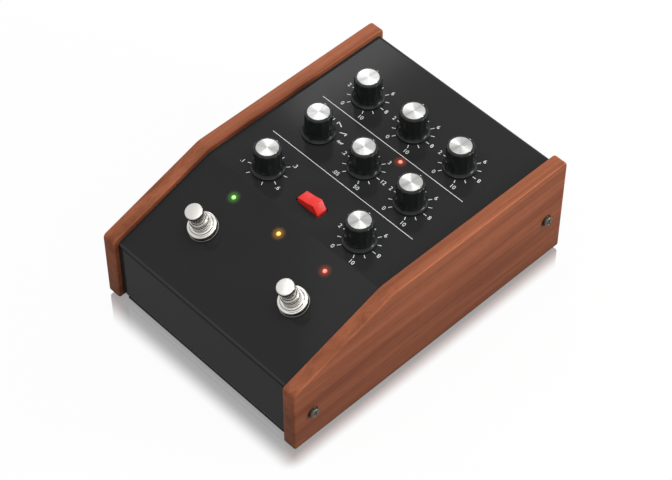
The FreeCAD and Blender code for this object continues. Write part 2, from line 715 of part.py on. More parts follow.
def make_knob():
    """Fluted knob with a flared skirt, a seat for its metal cap and a hollow over the nut."""
    sections = [
        grip_section(GRIP_BASE_RADIUS, GRIP_BASE_HEIGHT),
        grip_section(GRIP_TOP_RADIUS, KNOB_HEIGHT - KNOB_RIM_CHAMFER),
        grip_section(GRIP_TOP_RADIUS - KNOB_RIM_CHAMFER, KNOB_HEIGHT),
    ]
    knob = make_skirt().fuse(Part.makeLoft(sections, True, True))
    bore = rod(SHAFT_RADIUS + BORE_GAP, 0, SHAFT_ABOVE_PANEL).cut(shaft_flat(BORE_GAP))
    cap_seat = rod(CAP_RADIUS, KNOB_HEIGHT - CAP_SINK, KNOB_HEIGHT + OVERCUT)
    return cut_all(knob, [bore, cap_seat, rod(KNOB_HOLLOW_RADIUS, 0, KNOB_HOLLOW_HEIGHT)])


def make_cap():
    """Spun metal cap let into the top of a knob."""
    low = KNOB_HEIGHT - CAP_SINK
    cap = rod(CAP_RADIUS, low, low + CAP_THICKNESS)
    top_edges = [edge for edge in cap.Edges if edge.BoundBox.ZMin > low + CAP_THICKNESS / 2]
    return cap.makeChamfer(CAP_EDGE_CHAMFER, top_edges)


def make_dials():
    """Controls, nuts, shafts, knobs and caps of all eight dials."""
    pot = make_pot()
    shaft = make_shaft()
    knob = make_knob()
    cap = make_cap()
    nut = hex_nut(CONTROL_NUT_ACROSS_FLATS, BUSHING_RADIUS + THREAD_GAP, 0, CONTROL_NUT_HEIGHT)
    pots = []
    nuts = []
    for name, place in dial_placements().items():
        nuts.append(moved(nut, place))
        save(name + "_shaft", moved(shaft, place))
        save(name + "_knob", moved(knob, place))
        save(name + "_cap", moved(cap, place))
        if name == SELECTOR:
            square = FreeCAD.Placement(place.Base, FreeCAD.Rotation())
            save("selector_switch", moved(make_selector_body(), square))
        else:
            pots.append(moved(pot, place))
    save("potentiometers", *pots)
    save("control_nuts", *nuts)


# Rocker


def rocker_reach():
    """Distance from the pivot to the paddle's furthest point."""
    return math.hypot(ROCKER_SHOULDER_HALF_LENGTH, ROCKER_SHOULDER_ABOVE_PIVOT)


def rocker_slot_half_length():
    """Half the length of the slot in the cover, clear of the swinging paddle."""
    panel_underside = ROCKER_PIVOT_DEPTH - SHEET
    return math.sqrt(rocker_reach() ** 2 - panel_underside ** 2) + ROCKER_END_GAP


def make_rocker():
    """Red paddle tipped to the left, and the switch body that carries its pivot."""
    width = ROCKER_WIDTH
    top = ROCKER_TOP_ABOVE_PIVOT
    front = -width / 2
    corners = [
        (Vector(-ROCKER_TOP_HALF_LENGTH, front, top), ROCKER_EDGE_ROUND),
        (Vector(0, front, top - ROCKER_DISH), 0),
        (Vector(ROCKER_TOP_HALF_LENGTH, front, top), ROCKER_EDGE_ROUND),
        (Vector(ROCKER_SHOULDER_HALF_LENGTH, front, ROCKER_SHOULDER_ABOVE_PIVOT), ROCKER_EDGE_ROUND),
        (Vector(ROCKER_SHOULDER_HALF_LENGTH, front, -ROCKER_BELOW_PIVOT), 0),
        (Vector(-ROCKER_SHOULDER_HALF_LENGTH, front, -ROCKER_BELOW_PIVOT), 0),
        (Vector(-ROCKER_SHOULDER_HALF_LENGTH, front, ROCKER_SHOULDER_ABOVE_PIVOT), ROCKER_EDGE_ROUND),
    ]
    paddle = Part.Face(outline(corners)).extrude(Vector(0, width, 0))
    pin_span = width + 2 * (ROCKER_SIDE_GAP + ROCKER_PIN_LENGTH)
    pin = Part.makeCylinder(ROCKER_PIN_RADIUS, pin_span, Vector(0, -pin_span / 2, 0), Vector(0, 1, 0))
    paddle = paddle.fuse(pin).removeSplitter()
    paddle.rotate(Vector(), Vector(0, 1, 0), -ROCKER_TILT)
    paddle.translate(-UP * ROCKER_PIVOT_DEPTH)
    place = on_panel(0, ROCKER_FROM_FRONT)
    save("rocker_paddle", moved(paddle, place))

    half = rocker_reach() + ROCKER_END_GAP
    cavity_floor = -ROCKER_PIVOT_DEPTH - ROCKER_CAVITY_BELOW_PIVOT
    gap_width = width + 2 * ROCKER_SIDE_GAP
    body = centred_box(2 * (half + ROCKER_WALL), gap_width + 2 * ROCKER_WALL, (-SHEET - POT_DEPTH, -SHEET))
    body = body.cut(centred_box(2 * half, gap_width, (cavity_floor, 0)))
    hole_span = pin_span + 2 * ROCKER_END_GAP
    bearing = Part.makeCylinder(
        ROCKER_PIN_RADIUS + SHAFT_RUNNING_GAP, hole_span,
        Vector(0, -hole_span / 2, -ROCKER_PIVOT_DEPTH), Vector(0, 1, 0),
    )
    save("rocker_switch", moved(body.cut(bearing), place))


# Footswitches


def make_switch_body():
    """Footswitch body under the slope with its six lugs and a bore for the plunger."""
    top = -SHEET
    bottom = top - SWITCH_BODY_DEPTH
    body = centred_box(SWITCH_BODY_SIDE, SWITCH_BODY_SIDE, (bottom, top))
    lugs = []
    for column in (-1, 1):
        for row in (-1, 0, 1):
            lug = centred_box(SWITCH_LUG_WIDTH, SWITCH_LUG_THICKNESS, (-FRONT_BOARD_DEPTH, bottom))
            lug.translate(Vector(column, row, 0) * SWITCH_LUG_PITCH)
            lugs.append(lug)
    floor = -PLUNGER_INTO_BODY - PLUNGER_TRAVEL - PLUNGER_STOP_GAP
    return body.fuse(lugs).cut(rod(PLUNGER_NECK_RADIUS + PLUNGER_GAP, floor, 0))


def make_switch_bushing():
    """Bushing of a footswitch with a bevelled mouth."""
    bore = PLUNGER_NECK_RADIUS + PLUNGER_GAP
    top = SWITCH_BUSHING_HEIGHT
    outer = SWITCH_BUSHING_RADIUS
    bevel = SWITCH_BUSHING_CHAMFER
    corners = [(bore, -SHEET), (outer, -SHEET), (outer, top - bevel), (outer - bevel, top), (bore, top)]
    points = [Vector(radius, 0, z) for radius, z in corners]
    return spun(Part.makePolygon(points + points[:1]))


def make_dress_nut():
    """Round dress nut: a narrower foot, a broad rim above it and a raised shoulder, both bevelled."""
    bore = SWITCH_BUSHING_RADIUS + THREAD_GAP
    foot = DRESS_NUT_UNDERCUT_RADIUS
    low = DRESS_WASHER_THICKNESS
    rim_low = low + DRESS_NUT_UNDERCUT
    rim_top = low + DRESS_NUT_RIM
    top = low + DRESS_NUT_HEIGHT
    bevel = DRESS_NUT_CHAMFER
    rim = DRESS_NUT_RADIUS
    shoulder = DRESS_NUT_SHOULDER_RADIUS
    corners = [
        (bore, low), (foot, low), (foot, rim_low), (rim, rim_low), (rim, rim_top - bevel), (rim - bevel, rim_top),
        (shoulder, rim_top), (shoulder, top - bevel), (shoulder - bevel, top), (bore, top),
    ]
    points = [Vector(radius, 0, z) for radius, z in corners]
    return spun(Part.makePolygon(points + points[:1]))


def make_plunger():
    """Push button: a neck that slides in the bushing and a broad cap on top."""
    under_cap = PLUNGER_TOP - PLUNGER_CAP_HEIGHT
    corners = [
        (Vector(0, 0, -PLUNGER_INTO_BODY), 0),
        (Vector(PLUNGER_NECK_RADIUS, 0, -PLUNGER_INTO_BODY), 0),
        (Vector(PLUNGER_NECK_RADIUS, 0, under_cap), 0),
        (Vector(PLUNGER_CAP_RADIUS, 0, under_cap), 0),
        (Vector(PLUNGER_CAP_RADIUS, 0, PLUNGER_TOP), PLUNGER_CAP_ROUND),
        (Vector(0, 0, PLUNGER_TOP), 0),
    ]
    return spun(outline(corners))


def make_footswitches():
    """Bodies, bushings, washers, nuts and plungers of the two footswitches."""
    places = footswitch_placements()
    washer = tube(DRESS_WASHER_RADIUS, SWITCH_BUSHING_RADIUS + THREAD_GAP, 0, DRESS_WASHER_THICKNESS)
    groups = {
        "footswitch_bodies": make_switch_body(),
        "footswitch_bushings": make_switch_bushing(),
        "dress_washers": washer,
        "dress_nuts": make_dress_nut(),
    }
    for name, piece in groups.items():
        save(name, *[moved(piece, place) for place in places.values()])
    for name, place in places.items():
        save(name + "_plunger", moved(make_plunger(), place))


# Lamps


def make_led(board_depth):
    """Domed lamp with its flange, and two legs that run down to the board."""
    dome_base = LED_ABOVE_PANEL - LED_RADIUS
    lens = rod(LED_RADIUS, -LED_BELOW_PANEL, dome_base)
    dome = Part.makeSphere(LED_RADIUS, Vector(0, 0, dome_base), UP, 0, 90, 360)
    flange = rod(LED_FLANGE_RADIUS, -LED_BELOW_PANEL, LED_FLANGE_HEIGHT - LED_BELOW_PANEL)
    pieces = [lens.fuse([dome, flange]).removeSplitter()]
    for side in (-1, 1):
        leg = centred_box(LED_LEG_SIDE, LED_LEG_SIDE, (-board_depth, -LED_BELOW_PANEL))
        leg.translate(Vector(side * LED_LEG_PITCH / 2, 0, 0))
        pieces.append(leg)
    return pieces


def make_lamps():
    """Four lamps, each standing on its legs."""
    for name, (place, board_depth) in led_placements().items():
        save(name, *[moved(piece, place) for piece in make_led(board_depth)])


# Boards and what they carry


def control_board_front():
    """Y of the control board's front edge."""
    return from_front(FRONT_ROW_FROM_FRONT - BOARD_MARGIN)


def spread(count, pitch):
    """Places along X at an even pitch, centred on zero."""
    return [(index - (count - 1) / 2) * pitch for index in range(count)]


def make_boards():
    """Control board under the dials, front board under the slope and jack board at the rear."""
    half = CHEEK_INNER_X - SHEET - CONTROL_BOARD_SIDE_GAP
    span = (control_board_front(), from_front(REAR_ROW_FROM_FRONT + BOARD_MARGIN))
    save("control_board", box((-half, half), span, (CONTROL_BOARD_TOP - BOARD, CONTROL_BOARD_TOP)))
    half = FOOTSWITCH_COLUMN + BOARD_MARGIN
    span = (-FOOTSWITCH_BELOW_KINK - BOARD_MARGIN, -FRONT_BOARD_BELOW_KINK)
    front = box((-half, half), span, (-FRONT_BOARD_DEPTH - BOARD, -FRONT_BOARD_DEPTH))
    save("front_board", moved(front, on_slope(0, 0)))
    rear = REAR_PANEL_Y - SHEET - JACK_BOARD_FROM_PANEL
    span = (rear - JACK_BOARD_LENGTH, rear)
    heights = (JACK_BOARD_TOP - BOARD, JACK_BOARD_TOP)
    save("jack_board", box((-REAR_HALF_WIDTH, REAR_HALF_WIDTH), span, heights))


def make_board_parts():
    """Delay chips and electrolytic capacitors on the underside of the control board."""
    under = CONTROL_BOARD_TOP - BOARD
    chip = centred_box(CHIP_LENGTH, CHIP_WIDTH, (under - CHIP_HEIGHT, under))
    chips = []
    for row in (FIRST_CHIP_ROW_FROM_FRONT, FIRST_CHIP_ROW_FROM_FRONT + CHIP_ROW_PITCH):
        for x in spread(CHIP_COLUMNS, CHIP_PITCH):
            chips.append(chip.translated(Vector(x, from_front(row), 0)))
    save("delay_chips", *chips)
    row = from_front(CAPACITORS_FROM_FRONT)
    columns = spread(CAPACITOR_COUNT, CAPACITOR_PITCH)
    save("capacitors", *[rod(CAPACITOR_RADIUS, under - CAPACITOR_HEIGHT, under, x, row) for x in columns])


def header(y_span, z_span):
    """Flat-cable header across X."""
    half = (RIBBON_WIDTH + HEADER_EXTRA_WIDTH) / 2
    return box((-half, half), y_span, z_span)


def make_rear_ribbon():
    """Flat cable from the control board down to the jack board, with its two headers."""
    board_end = REAR_PANEL_Y - SHEET - JACK_BOARD_FROM_PANEL - JACK_BOARD_LENGTH
    start = board_end + REAR_HEADER_FROM_BOARD_END - HEADER_DEPTH
    under = CONTROL_BOARD_TOP - BOARD
    upper = header((start, start + HEADER_DEPTH), (under - HEADER_HEIGHT, under))
    lower = header((start, start + HEADER_DEPTH), (JACK_BOARD_TOP, JACK_BOARD_TOP + HEADER_HEIGHT))
    high = under - (HEADER_HEIGHT - RIBBON_THICKNESS) / 2
    low = JACK_BOARD_TOP + (HEADER_HEIGHT - RIBBON_THICKNESS) / 2
    turn = start - REAR_RIBBON_REACH - REAR_RIBBON_BEND
    path = [
        (Vector(0, start, low), 0),
        (Vector(0, turn, low), REAR_RIBBON_BEND),
        (Vector(0, turn, high), REAR_RIBBON_BEND),
        (Vector(0, start, high), 0),
    ]
    save("rear_ribbon", strip(path, RIBBON_THICKNESS, RIBBON_WIDTH / 2), upper, lower)


def make_front_ribbon():
    """Flat cable from the front board up to the control board, with its two headers."""
    slope = on_slope(0, 0)
    board_under = -FRONT_BOARD_DEPTH - BOARD
    lower_end = -LOWER_HEADER_BELOW_KINK + HEADER_DEPTH
    lower = header((-LOWER_HEADER_BELOW_KINK, lower_end), (board_under - HEADER_HEIGHT, board_under))
    under = CONTROL_BOARD_TOP - BOARD
    start = control_board_front() + UPPER_HEADER_FROM_BOARD_END
    upper = header((start, start + HEADER_DEPTH), (under - HEADER_HEIGHT, under))
    exit_height = board_under - HEADER_HEIGHT / 2
    leave = slope.multVec(Vector(0, lower_end, exit_height))
    first = slope.multVec(Vector(0, lower_end + FRONT_RIBBON_RUN, exit_height))
    arrive_z = under - (HEADER_HEIGHT - RIBBON_THICKNESS) / 2
    path = [
        (leave, 0),
        (first, FRONT_RIBBON_BEND),
        (Vector(0, start - FRONT_RIBBON_RUN, arrive_z), FRONT_RIBBON_BEND),
        (Vector(0, start, arrive_z), 0),
    ]
    save("front_ribbon", strip(path, RIBBON_THICKNESS, RIBBON_WIDTH / 2), moved(lower, slope), upper)


# Rear sockets


def make_jack():
    """Jack body behind the rear panel with its threaded bushing and plug bore."""
    top = -SHEET
    body = centred_box(JACK_BODY_WIDTH, JACK_BODY_HEIGHT, (top - JACK_BODY_DEPTH, top))
    mouth = JACK_BUSHING_OUTSIDE
    body = body.fuse(rod(JACK_BUSHING_RADIUS, top - OVERCUT, mouth)).removeSplitter()
    return body.cut(rod(JACK_BORE_RADIUS, mouth - JACK_BORE_LENGTH, mouth + OVERCUT))


def make_rear_sockets():
    """Jacks with their nuts, and the power inlet with its centre pin."""
    places = jack_placements()
    jack = make_jack()
    nut = hex_nut(JACK_NUT_ACROSS_FLATS, JACK_BUSHING_RADIUS + THREAD_GAP, 0, JACK_NUT_HEIGHT)
    save("jack_bodies", *[moved(jack, place) for place in places])
    save("jack_nuts", *[moved(nut, place) for place in places])

    inlet = centred_box(INLET_WIDTH, INLET_HEIGHT, (-SHEET - INLET_DEPTH, -SHEET))
    inlet = inlet.fuse(rod(INLET_SLEEVE_RADIUS, -SHEET - OVERCUT, 0)).removeSplitter()
    inlet = inlet.cut(rod(INLET_BORE_RADIUS, -INLET_BORE_LENGTH, OVERCUT))
    pin = rod(INLET_PIN_RADIUS, -INLET_BORE_LENGTH, INLET_PIN_LENGTH - INLET_BORE_LENGTH)
    place = on_rear(INLET_X, INLET_Z)
    save("power_inlet", moved(inlet, place), moved(pin, place))


def main():
    os.makedirs("parts", exist_ok=True)
    save("top_cover", make_cover())
    save("rear_panel", make_rear_panel())
    save("base_tray", make_tray())
    save("left_cheek", make_cheek(-1))
    save("right_cheek", make_cheek(1))
    make_cheek_screws()
    make_underside()
    make_dials()
    make_rocker()
    make_footswitches()
    make_lamps()
    make_boards()
    make_board_parts()
    make_rear_ribbon()
    make_front_ribbon()
    make_rear_sockets()


main()
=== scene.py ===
"""Looks of an analog delay pedal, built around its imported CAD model.

The file is laid out as an add-on and runs as a script. Every piece is a surface worked out with
numpy in metres, in the frame of the CAD model: X to the player's right, Y to the rear, Z up.
A place on the deck is measured from the front of the cheeks, and a place on the slope is
measured down from the fold between the deck and the slope.
"""

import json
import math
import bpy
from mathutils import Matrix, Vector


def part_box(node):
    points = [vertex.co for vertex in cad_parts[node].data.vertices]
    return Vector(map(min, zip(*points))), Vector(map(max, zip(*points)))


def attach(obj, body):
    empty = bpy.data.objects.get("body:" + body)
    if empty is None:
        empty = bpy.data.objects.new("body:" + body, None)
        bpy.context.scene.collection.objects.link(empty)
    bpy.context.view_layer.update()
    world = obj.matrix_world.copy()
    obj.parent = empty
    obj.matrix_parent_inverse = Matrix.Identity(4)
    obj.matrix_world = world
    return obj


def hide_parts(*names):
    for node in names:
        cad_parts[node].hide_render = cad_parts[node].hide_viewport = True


bl_info = {
    "name": "Analog delay pedal",
    "version": (1, 0, 0),
    "blender": (4, 5, 0),
    "location": "3D View > Sidebar > Pedal",
    "description": "Wooden cheeks, fluted knobs, footswitches, lamps and printed scales of a floor pedal",
    "category": "Object",
}

from collections import namedtuple

import bpy
import numpy as np
from bpy.props import FloatProperty, FloatVectorProperty, IntProperty, PointerProperty
from bpy.types import Operator, Panel, PropertyGroup
from mathutils import Matrix, Vector

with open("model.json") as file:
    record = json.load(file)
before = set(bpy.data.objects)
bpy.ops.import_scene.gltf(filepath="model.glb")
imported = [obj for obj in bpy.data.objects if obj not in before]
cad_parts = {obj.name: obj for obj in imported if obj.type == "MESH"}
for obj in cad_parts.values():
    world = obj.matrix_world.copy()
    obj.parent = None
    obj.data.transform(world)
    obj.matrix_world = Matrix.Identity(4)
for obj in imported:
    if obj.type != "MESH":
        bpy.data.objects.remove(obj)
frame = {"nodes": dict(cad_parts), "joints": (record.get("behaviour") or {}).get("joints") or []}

MM = 0.001
TURN = 2 * math.pi

# Sizes read from the frame
JOINTS = {joint["name"]: joint for joint in frame["joints"]}
PANEL_Z = JOINTS["drive_turn"]["pos_m"][2]
SLOPE = math.atan2(JOINTS["tempo_press"]["axis"][1], -JOINTS["tempo_press"]["axis"][2])
CHEEK_LOW, CHEEK_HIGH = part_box("right_cheek")
FRONT_Y = CHEEK_LOW.y
KNOB_LOW, KNOB_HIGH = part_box("drive_knob")
CAP_LOW, CAP_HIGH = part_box("drive_cap")
COVER_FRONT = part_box("top_cover")[0].y

# Wooden cheeks
CHEEK_FRONT_HEIGHT = 52.7 * MM
CHEEK_KINK = 79.0 * MM
CHEEK_TOP_CORNER = 3.5 * MM
CHEEK_FOOT_CORNER = 1.6 * MM
CHEEK_KINK_ROUND = 14.0 * MM
FLAT_MARGIN = 0.5 * MM
# V of the middle of a board's rim, how far in V its painted highlight reaches, and how much it brightens the
# colour there
ARRIS = 0.75
ARRIS_HIGHLIGHT_REACH = 0.16
ARRIS_HIGHLIGHT = 1.3
# Painted shade at the foot, and the heights between which it lightens
FOOT_SHADE = 0.66
FOOT_SHADE_LOW = 2.0 * MM
FOOT_SHADE_HIGH = 52.0 * MM
# How far each board's noise is moved, so that the boards differ
BOARD_OFFSETS = {"left_cheek": (3.1, 0.4, 5.2), "right_cheek": (0.0, 0.0, 0.0)}
# Sizes of the wood's figure, long in Y along the board
BAND_SIZE = (8.0 * MM, 190.0 * MM, 8.0 * MM)
STREAK_SIZE = (1.7 * MM, 95.0 * MM, 1.7 * MM)
PORE_SIZE = (0.5 * MM, 9.0 * MM, 0.5 * MM)

# Folded cover
COVER_RECESS = 3.7 * MM
KINK_Y = FRONT_Y + CHEEK_KINK + COVER_RECESS * math.tan(SLOPE / 2)
REAR_PANEL_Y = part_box("rear_panel")[1].y
# Painted highlight and shade along the front fold: the direction across it, and its half width
FOLD_LINE_ACROSS = (0.0, 0.9, 0.44)
FOLD_LINE_HALF = 2.0 * MM

# Screws in the cheeks and under the tray
CHEEK_SCREW_FROM_END = 15.0 * MM
FRONT_SCREW_HEIGHT = 25.0 * MM
REAR_SCREW_HEIGHT = 35.4 * MM
SCREW_HEAD_RADIUS = 3.4 * MM
SCREW_HEAD_HEIGHT = 1.9 * MM
SCREW_SHANK_RADIUS = 2.0 * MM
CUP_RADIUS = 4.2 * MM
CUP_LIP_RADIUS = 3.75 * MM
CUP_HEIGHT = 0.8 * MM
CUP_BORE = 2.25 * MM
BASE_SCREW_X = 50.0 * MM
BASE_SCREW_FROM_EDGE = 8.0 * MM
COVER_FRONT_INSET = 3.5 * MM
COVER_REAR_INSET = 2.7 * MM
BASE_HEAD_RADIUS = 2.8 * MM
BASE_HEAD_HEIGHT = 1.75 * MM
BASE_SHANK_RADIUS = 1.5 * MM
TRAY_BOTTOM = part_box("base_tray")[0].z
# Reach of a cross recess as a share of its head's radius, and its depth as a share of the head's
# height. Half an arm's width and the width of its sloping side are shares of the reach.
CROSS_REACH = 0.62
CROSS_DEPTH = 0.7
CROSS_ARM = 0.16
CROSS_SIDE = 0.12
# Share of a head's height that its domed crown takes
CROWN_SHARE = 0.55

# Dials
DIALS = ("drive", "level", "mix", "lfo", "rate", "amount", "time", "feedback")
SELECTOR = "lfo"
SELECTOR_TURN = math.radians(15.0)
KNOB_LIFT = KNOB_LOW.z - PANEL_Z
KNOB_TOP = KNOB_HIGH.z - PANEL_Z
SKIRT_RADIUS = (KNOB_HIGH.x - KNOB_LOW.x) / 2
SKIRT_EDGE_HEIGHT = 0.9 * MM
SKIRT_TOP_RADIUS = 9.1 * MM
SKIRT_SWEEP = 2.4
SKIRT_BEVEL = 0.3 * MM
GRIP_BASE_HEIGHT = 4.3 * MM
GRIP_RADIUS = 8.95 * MM
GRIP_FOOT = GRIP_BASE_HEIGHT + 0.35 * MM
RIM_BEVEL = 0.6 * MM
RIDGE_WIDTH = 1.1 * MM
CAP_RADIUS = (CAP_HIGH.x - CAP_LOW.x) / 2
CAP_BOTTOM = CAP_LOW.z - PANEL_Z
CAP_TOP = CAP_HIGH.z - PANEL_Z
CAP_PLAY = 0.02 * MM
CAP_CROWN = 0.06 * MM
KNOB_HOLLOW_RADIUS = 7.0 * MM
KNOB_HOLLOW_HEIGHT = 4.0 * MM
FLUTE_RUNOUT = 2.5 * MM
SHAFT_BORE = 3.02 * MM
SHAFT_TOP = 13.5 * MM
# Radius of the last ring of a turned piece, which its end face closes
PINHOLE = 0.05 * MM
POINTER_WIDTH = 0.9 * MM
POINTER_PROUD = 0.03 * MM
POINTER_SUNK = 0.09 * MM
POINTER_ON_TOP = 0.1 * MM

# Rocker
ROCKER_FROM_FRONT = 95.3 * MM
ROCKER_PIVOT_DEPTH = 3.2 * MM
ROCKER_TILT = math.radians(12.0)
ROCKER_TOP_HALF = 6.9 * MM
ROCKER_TOP_HEIGHT = 8.2 * MM
ROCKER_SHOULDER_HALF = 9.3 * MM
ROCKER_SHOULDER_HEIGHT = 1.9 * MM
ROCKER_BELOW_PIVOT = 2.0 * MM
ROCKER_WIDTH = 7.9 * MM
ROCKER_EDGE = 0.45 * MM
ROCKER_DISH = 0.35 * MM
ROCKER_DISH_RADIUS = 40.0 * MM
ROCKER_PIN_RADIUS = 0.9 * MM
ROCKER_PIN_SPAN = 10.9 * MM

# Footswitches
FOOTSWITCH_X = 40.0 * MM
FOOTSWITCH_BELOW_KINK = 38.8 * MM
BUSHING_RADIUS = 6.0 * MM
BUSHING_TOP = 12.4 * MM
BUSHING_BORE = 4.68 * MM
BUSHING_BOTTOM = -1.5 * MM
BUSHING_THREAD_DEPTH = 0.15 * MM
WASHER_RADIUS = 9.8 * MM
WASHER_HEIGHT = 0.8 * MM
# The washer's top stays under the nut's foot, which leaves a dark line between them
WASHER_TOP = 0.75 * WASHER_HEIGHT
NUT_FOOT_RADIUS = 8.3 * MM
NUT_RIM_RADIUS = 9.5 * MM
NUT_RIM_BOTTOM = 2.4 * MM
NUT_RIM_TOP = 4.2 * MM
NUT_SHOULDER_RADIUS = 7.4 * MM
NUT_TOP = 5.6 * MM
NECK_RADIUS = 4.6 * MM
BUTTON_RADIUS = 5.7 * MM
BUTTON_BOTTOM = 18.9 * MM
BUTTON_TOP = 21.9 * MM
PLUNGER_BOTTOM = -6.0 * MM

# Lamps
LENS_RADIUS = 1.5 * MM
LENS_TOP = 0.8 * MM
LENS_BOTTOM = -3.0 * MM
LENS_FLANGE_RADIUS = 1.9 * MM
LENS_FLANGE_TOP = -2.2 * MM
LAMP_BELOW_KINK = 12.5 * MM
LAMP_X = 40.0 * MM
# Painted glow of the lamps on the paint round them: its core, its reach and its strength
GLOW_CORE = 0.4 * MM
GLOW_REACH = 5.6 * MM
GLOW_STRENGTH = 0.26
RATE_LAMP_PLACE = (12.0 * MM, 158.5 * MM)
LEG_SIDE = 0.5 * MM
LEG_PITCH = 1.27 * MM
SLOPE_LEG_LENGTH = 18.0 * MM
DECK_LEG_LENGTH = 8.5 * MM

# Rear sockets
JACK_RADIUS = 4.7 * MM
JACK_BORE = 3.2 * MM
JACK_MOUTH = 4.05 * MM
JACK_SLEEVE_FOOT = 0.5 * MM
JACK_LIP_HEIGHT = 0.5 * MM
JACK_LINER_DEPTH = 6.0 * MM
JACK_LINER_WALL = 0.5 * MM
JACK_NUT_ACROSS_FLATS = 12.0 * MM
JACK_NUT_HEIGHT = 2.4 * MM
JACK_NUT_BEVEL = 0.4 * MM
JACK_NUT_BEVEL_SLOPE = 1.7
JACK_THREAD_DEPTH = 0.25 * MM
JACK_COUNT = 6
INLET_PIN_RADIUS = 1.03 * MM
INLET_PIN_LOW = -9.5 * MM
INLET_PIN_TOP = -0.47 * MM

# Inside
RIBBON_PITCH = 1.27 * MM
TRACK_LENGTH = 12.0 * MM

# Rubber feet
FOOT_RADIUS = 7.0 * MM
FOOT_TAPER = 0.8 * MM
FOOT_DIMPLE_RADIUS = 2.6 * MM
FOOT_DIMPLE_DEPTH = 0.5 * MM

# Printed scales
INK_LOW = -0.02 * MM
INK_HIGH = 0.03 * MM
DIVIDERS = ((162.6 * MM, 61.0 * MM), (119.9 * MM, 61.0 * MM))
DIVIDER_WIDTH = 0.4 * MM
GLYPH_STROKE = 0.6 * MM
GLYPH_DISTANCE = 15.3 * MM
SCALE_END = 150
# How much further out a numeral stands for each digit after its first
DIGIT_SHIFT = 0.5 * MM
# Height of a digit in the font's own units
FONT_DIGIT_HEIGHT = 0.7

Surface = namedtuple("Surface", "points corners sizes uv")


def linear(colour):
    """Linear red, green, blue and alpha of an sRGB hex colour such as #9c5a40."""
    channels = [int(colour[start:start + 2], 16) / 255 for start in (1, 3, 5)]
    return [c / 12.92 if c <= 0.04045 else ((c + 0.055) / 1.055) ** 2.4 for c in channels] + [1.0]


def colour_property(name, description, default):
    """Colour that a user may change, with an sRGB hex default."""
    return FloatVectorProperty(
        name=name, description=description, default=linear(default), size=4, min=0.0, max=1.0,
        subtype="COLOR",
    )


def length_property(name, description, default):
    """Length that a user may change, in metres."""
    return FloatProperty(name=name, description=description, default=default, min=0.0, unit="LENGTH")


class PedalSizes(PropertyGroup):
    """Sizes of the details that the CAD model leaves to the looks."""

    cheek_edge: length_property("Cheek edge", "Radius of the rounding along the cheeks' edges", 1.2 * MM)
    flute_count: IntProperty(
        name="Flutes", description="Number of flutes round a knob", default=12, min=3, max=48,
    )
    flute_depth: length_property("Flute depth", "Depth of a flute in the knob's grip", 0.3 * MM)
    tick_start: length_property("Tick start", "Distance of a tick's inner end from its shaft", 11.2 * MM)
    tick_end: length_property("Tick end", "Distance of a tick's outer end from its shaft", 13.7 * MM)
    tick_width: length_property("Tick width", "Width of a printed tick", 0.45 * MM)
    numeral_distance: length_property(
        "Numeral distance", "Distance of a numeral's middle from its shaft", 16.4 * MM,
    )
    numeral_height: length_property("Numeral height", "Height of the printed numerals", 2.9 * MM)
    numeral_slant: FloatProperty(
        name="Numeral slant", description="How far the numerals lean", default=-0.12, min=-1.0, max=1.0,
    )
    # The real thread, 0.75 mm apart, is too fine to show in the render, so it is drawn coarser
    switch_thread: length_property("Switch thread", "Pitch of the footswitch bushing's thread", 2.0 * MM)
    jack_thread: length_property("Jack thread", "Pitch of the jack bushings' thread", 0.75 * MM)


class PedalColours(PropertyGroup):
    """Colours of the pedal's finishes."""

    wood_light: colour_property("Light wood", "Stained wood between its dark bands", "#ac6648")
    wood_middle: colour_property("Middle wood", "Stained wood over most of its face", "#9a5a3e")
    wood_dark: colour_property("Dark wood", "Dark bands of the stained wood", "#8b4d35")
    paint: colour_property("Paint", "Powder coat of the case", "#2b2b2b")
    knob: colour_property("Knob", "Moulded body of the knobs", "#222524")
    cap: colour_property("Cap", "Spun caps of the knobs", "#b6b6b4")
    nickel: colour_property("Nickel", "Plating of the footswitches", "#cac8c3")
    rocker: colour_property("Rocker", "Moulded rocker", "#f8342e")
    ink: colour_property("Ink", "Printed scales", "#f8fafa")
    green_lamp: colour_property("Green lamp", "Glow of the green lamp", "#74d44c")
    amber_lamp: colour_property("Amber lamp", "Glow of the amber lamp", "#ffb52a")
    red_lamp: colour_property("Red lamp", "Glow of the red lamps", "#e2593c")
    backdrop: colour_property("Backdrop", "Floor and background", "#ffffff")


ZINC = linear("#b9b8b4")
HOUSING = linear("#2a2b2e")


# Surfaces


def quads_between_rings(count, around):
    """Corner indices and UVs of the quads between rings of points, ring after ring.

    Quad (i, j) joins points j and j + 1 of rings i and i + 1, and the last point joins the first.
    U is j / around, and V is i / (count - 1).
    """
    ring, step = np.meshgrid(np.arange(count - 1), np.arange(around), indexing="ij")
    rings = np.stack([ring, ring, ring + 1, ring + 1], axis=-1)
    steps = np.stack([step, step + 1, step + 1, step], axis=-1)
    corners = rings * around + steps % around
    uv = np.stack([steps / around, rings / (count - 1)], axis=-1)
    return corners.ravel(), uv.reshape(-1, 2)


def tube_of_rings(points):
    """Closed surface through a stack of rings, whose two end rings are filled.

    points[i, j] is point j of ring i, and the rings run anticlockwise seen from the last one.
    """
    count, around = points.shape[:2]
    corners, uv = quads_between_rings(count, around)
    steps = np.arange(around)
    lower_cap = steps[::-1]
    upper_cap = steps + (count - 1) * around
    cap_uv = np.stack([steps / around, np.zeros(around)], axis=-1)
    return Surface(
        points.reshape(-1, 3),
        np.concatenate([corners, lower_cap, upper_cap]),
        np.concatenate([np.full(len(corners) // 4, 4), [around, around]]),
        np.concatenate([uv, cap_uv[::-1], cap_uv + (0, 1)]),
    )


def loop_of_rings(points):
    """Closed surface through a stack of rings whose last ring joins the first, as in a washer."""
    count, around = points.shape[:2]
    corners, uv = quads_between_rings(count + 1, around)
    corners = corners % (count * around)
    return Surface(points.reshape(-1, 3), corners, np.full(len(corners) // 4, 4), uv)


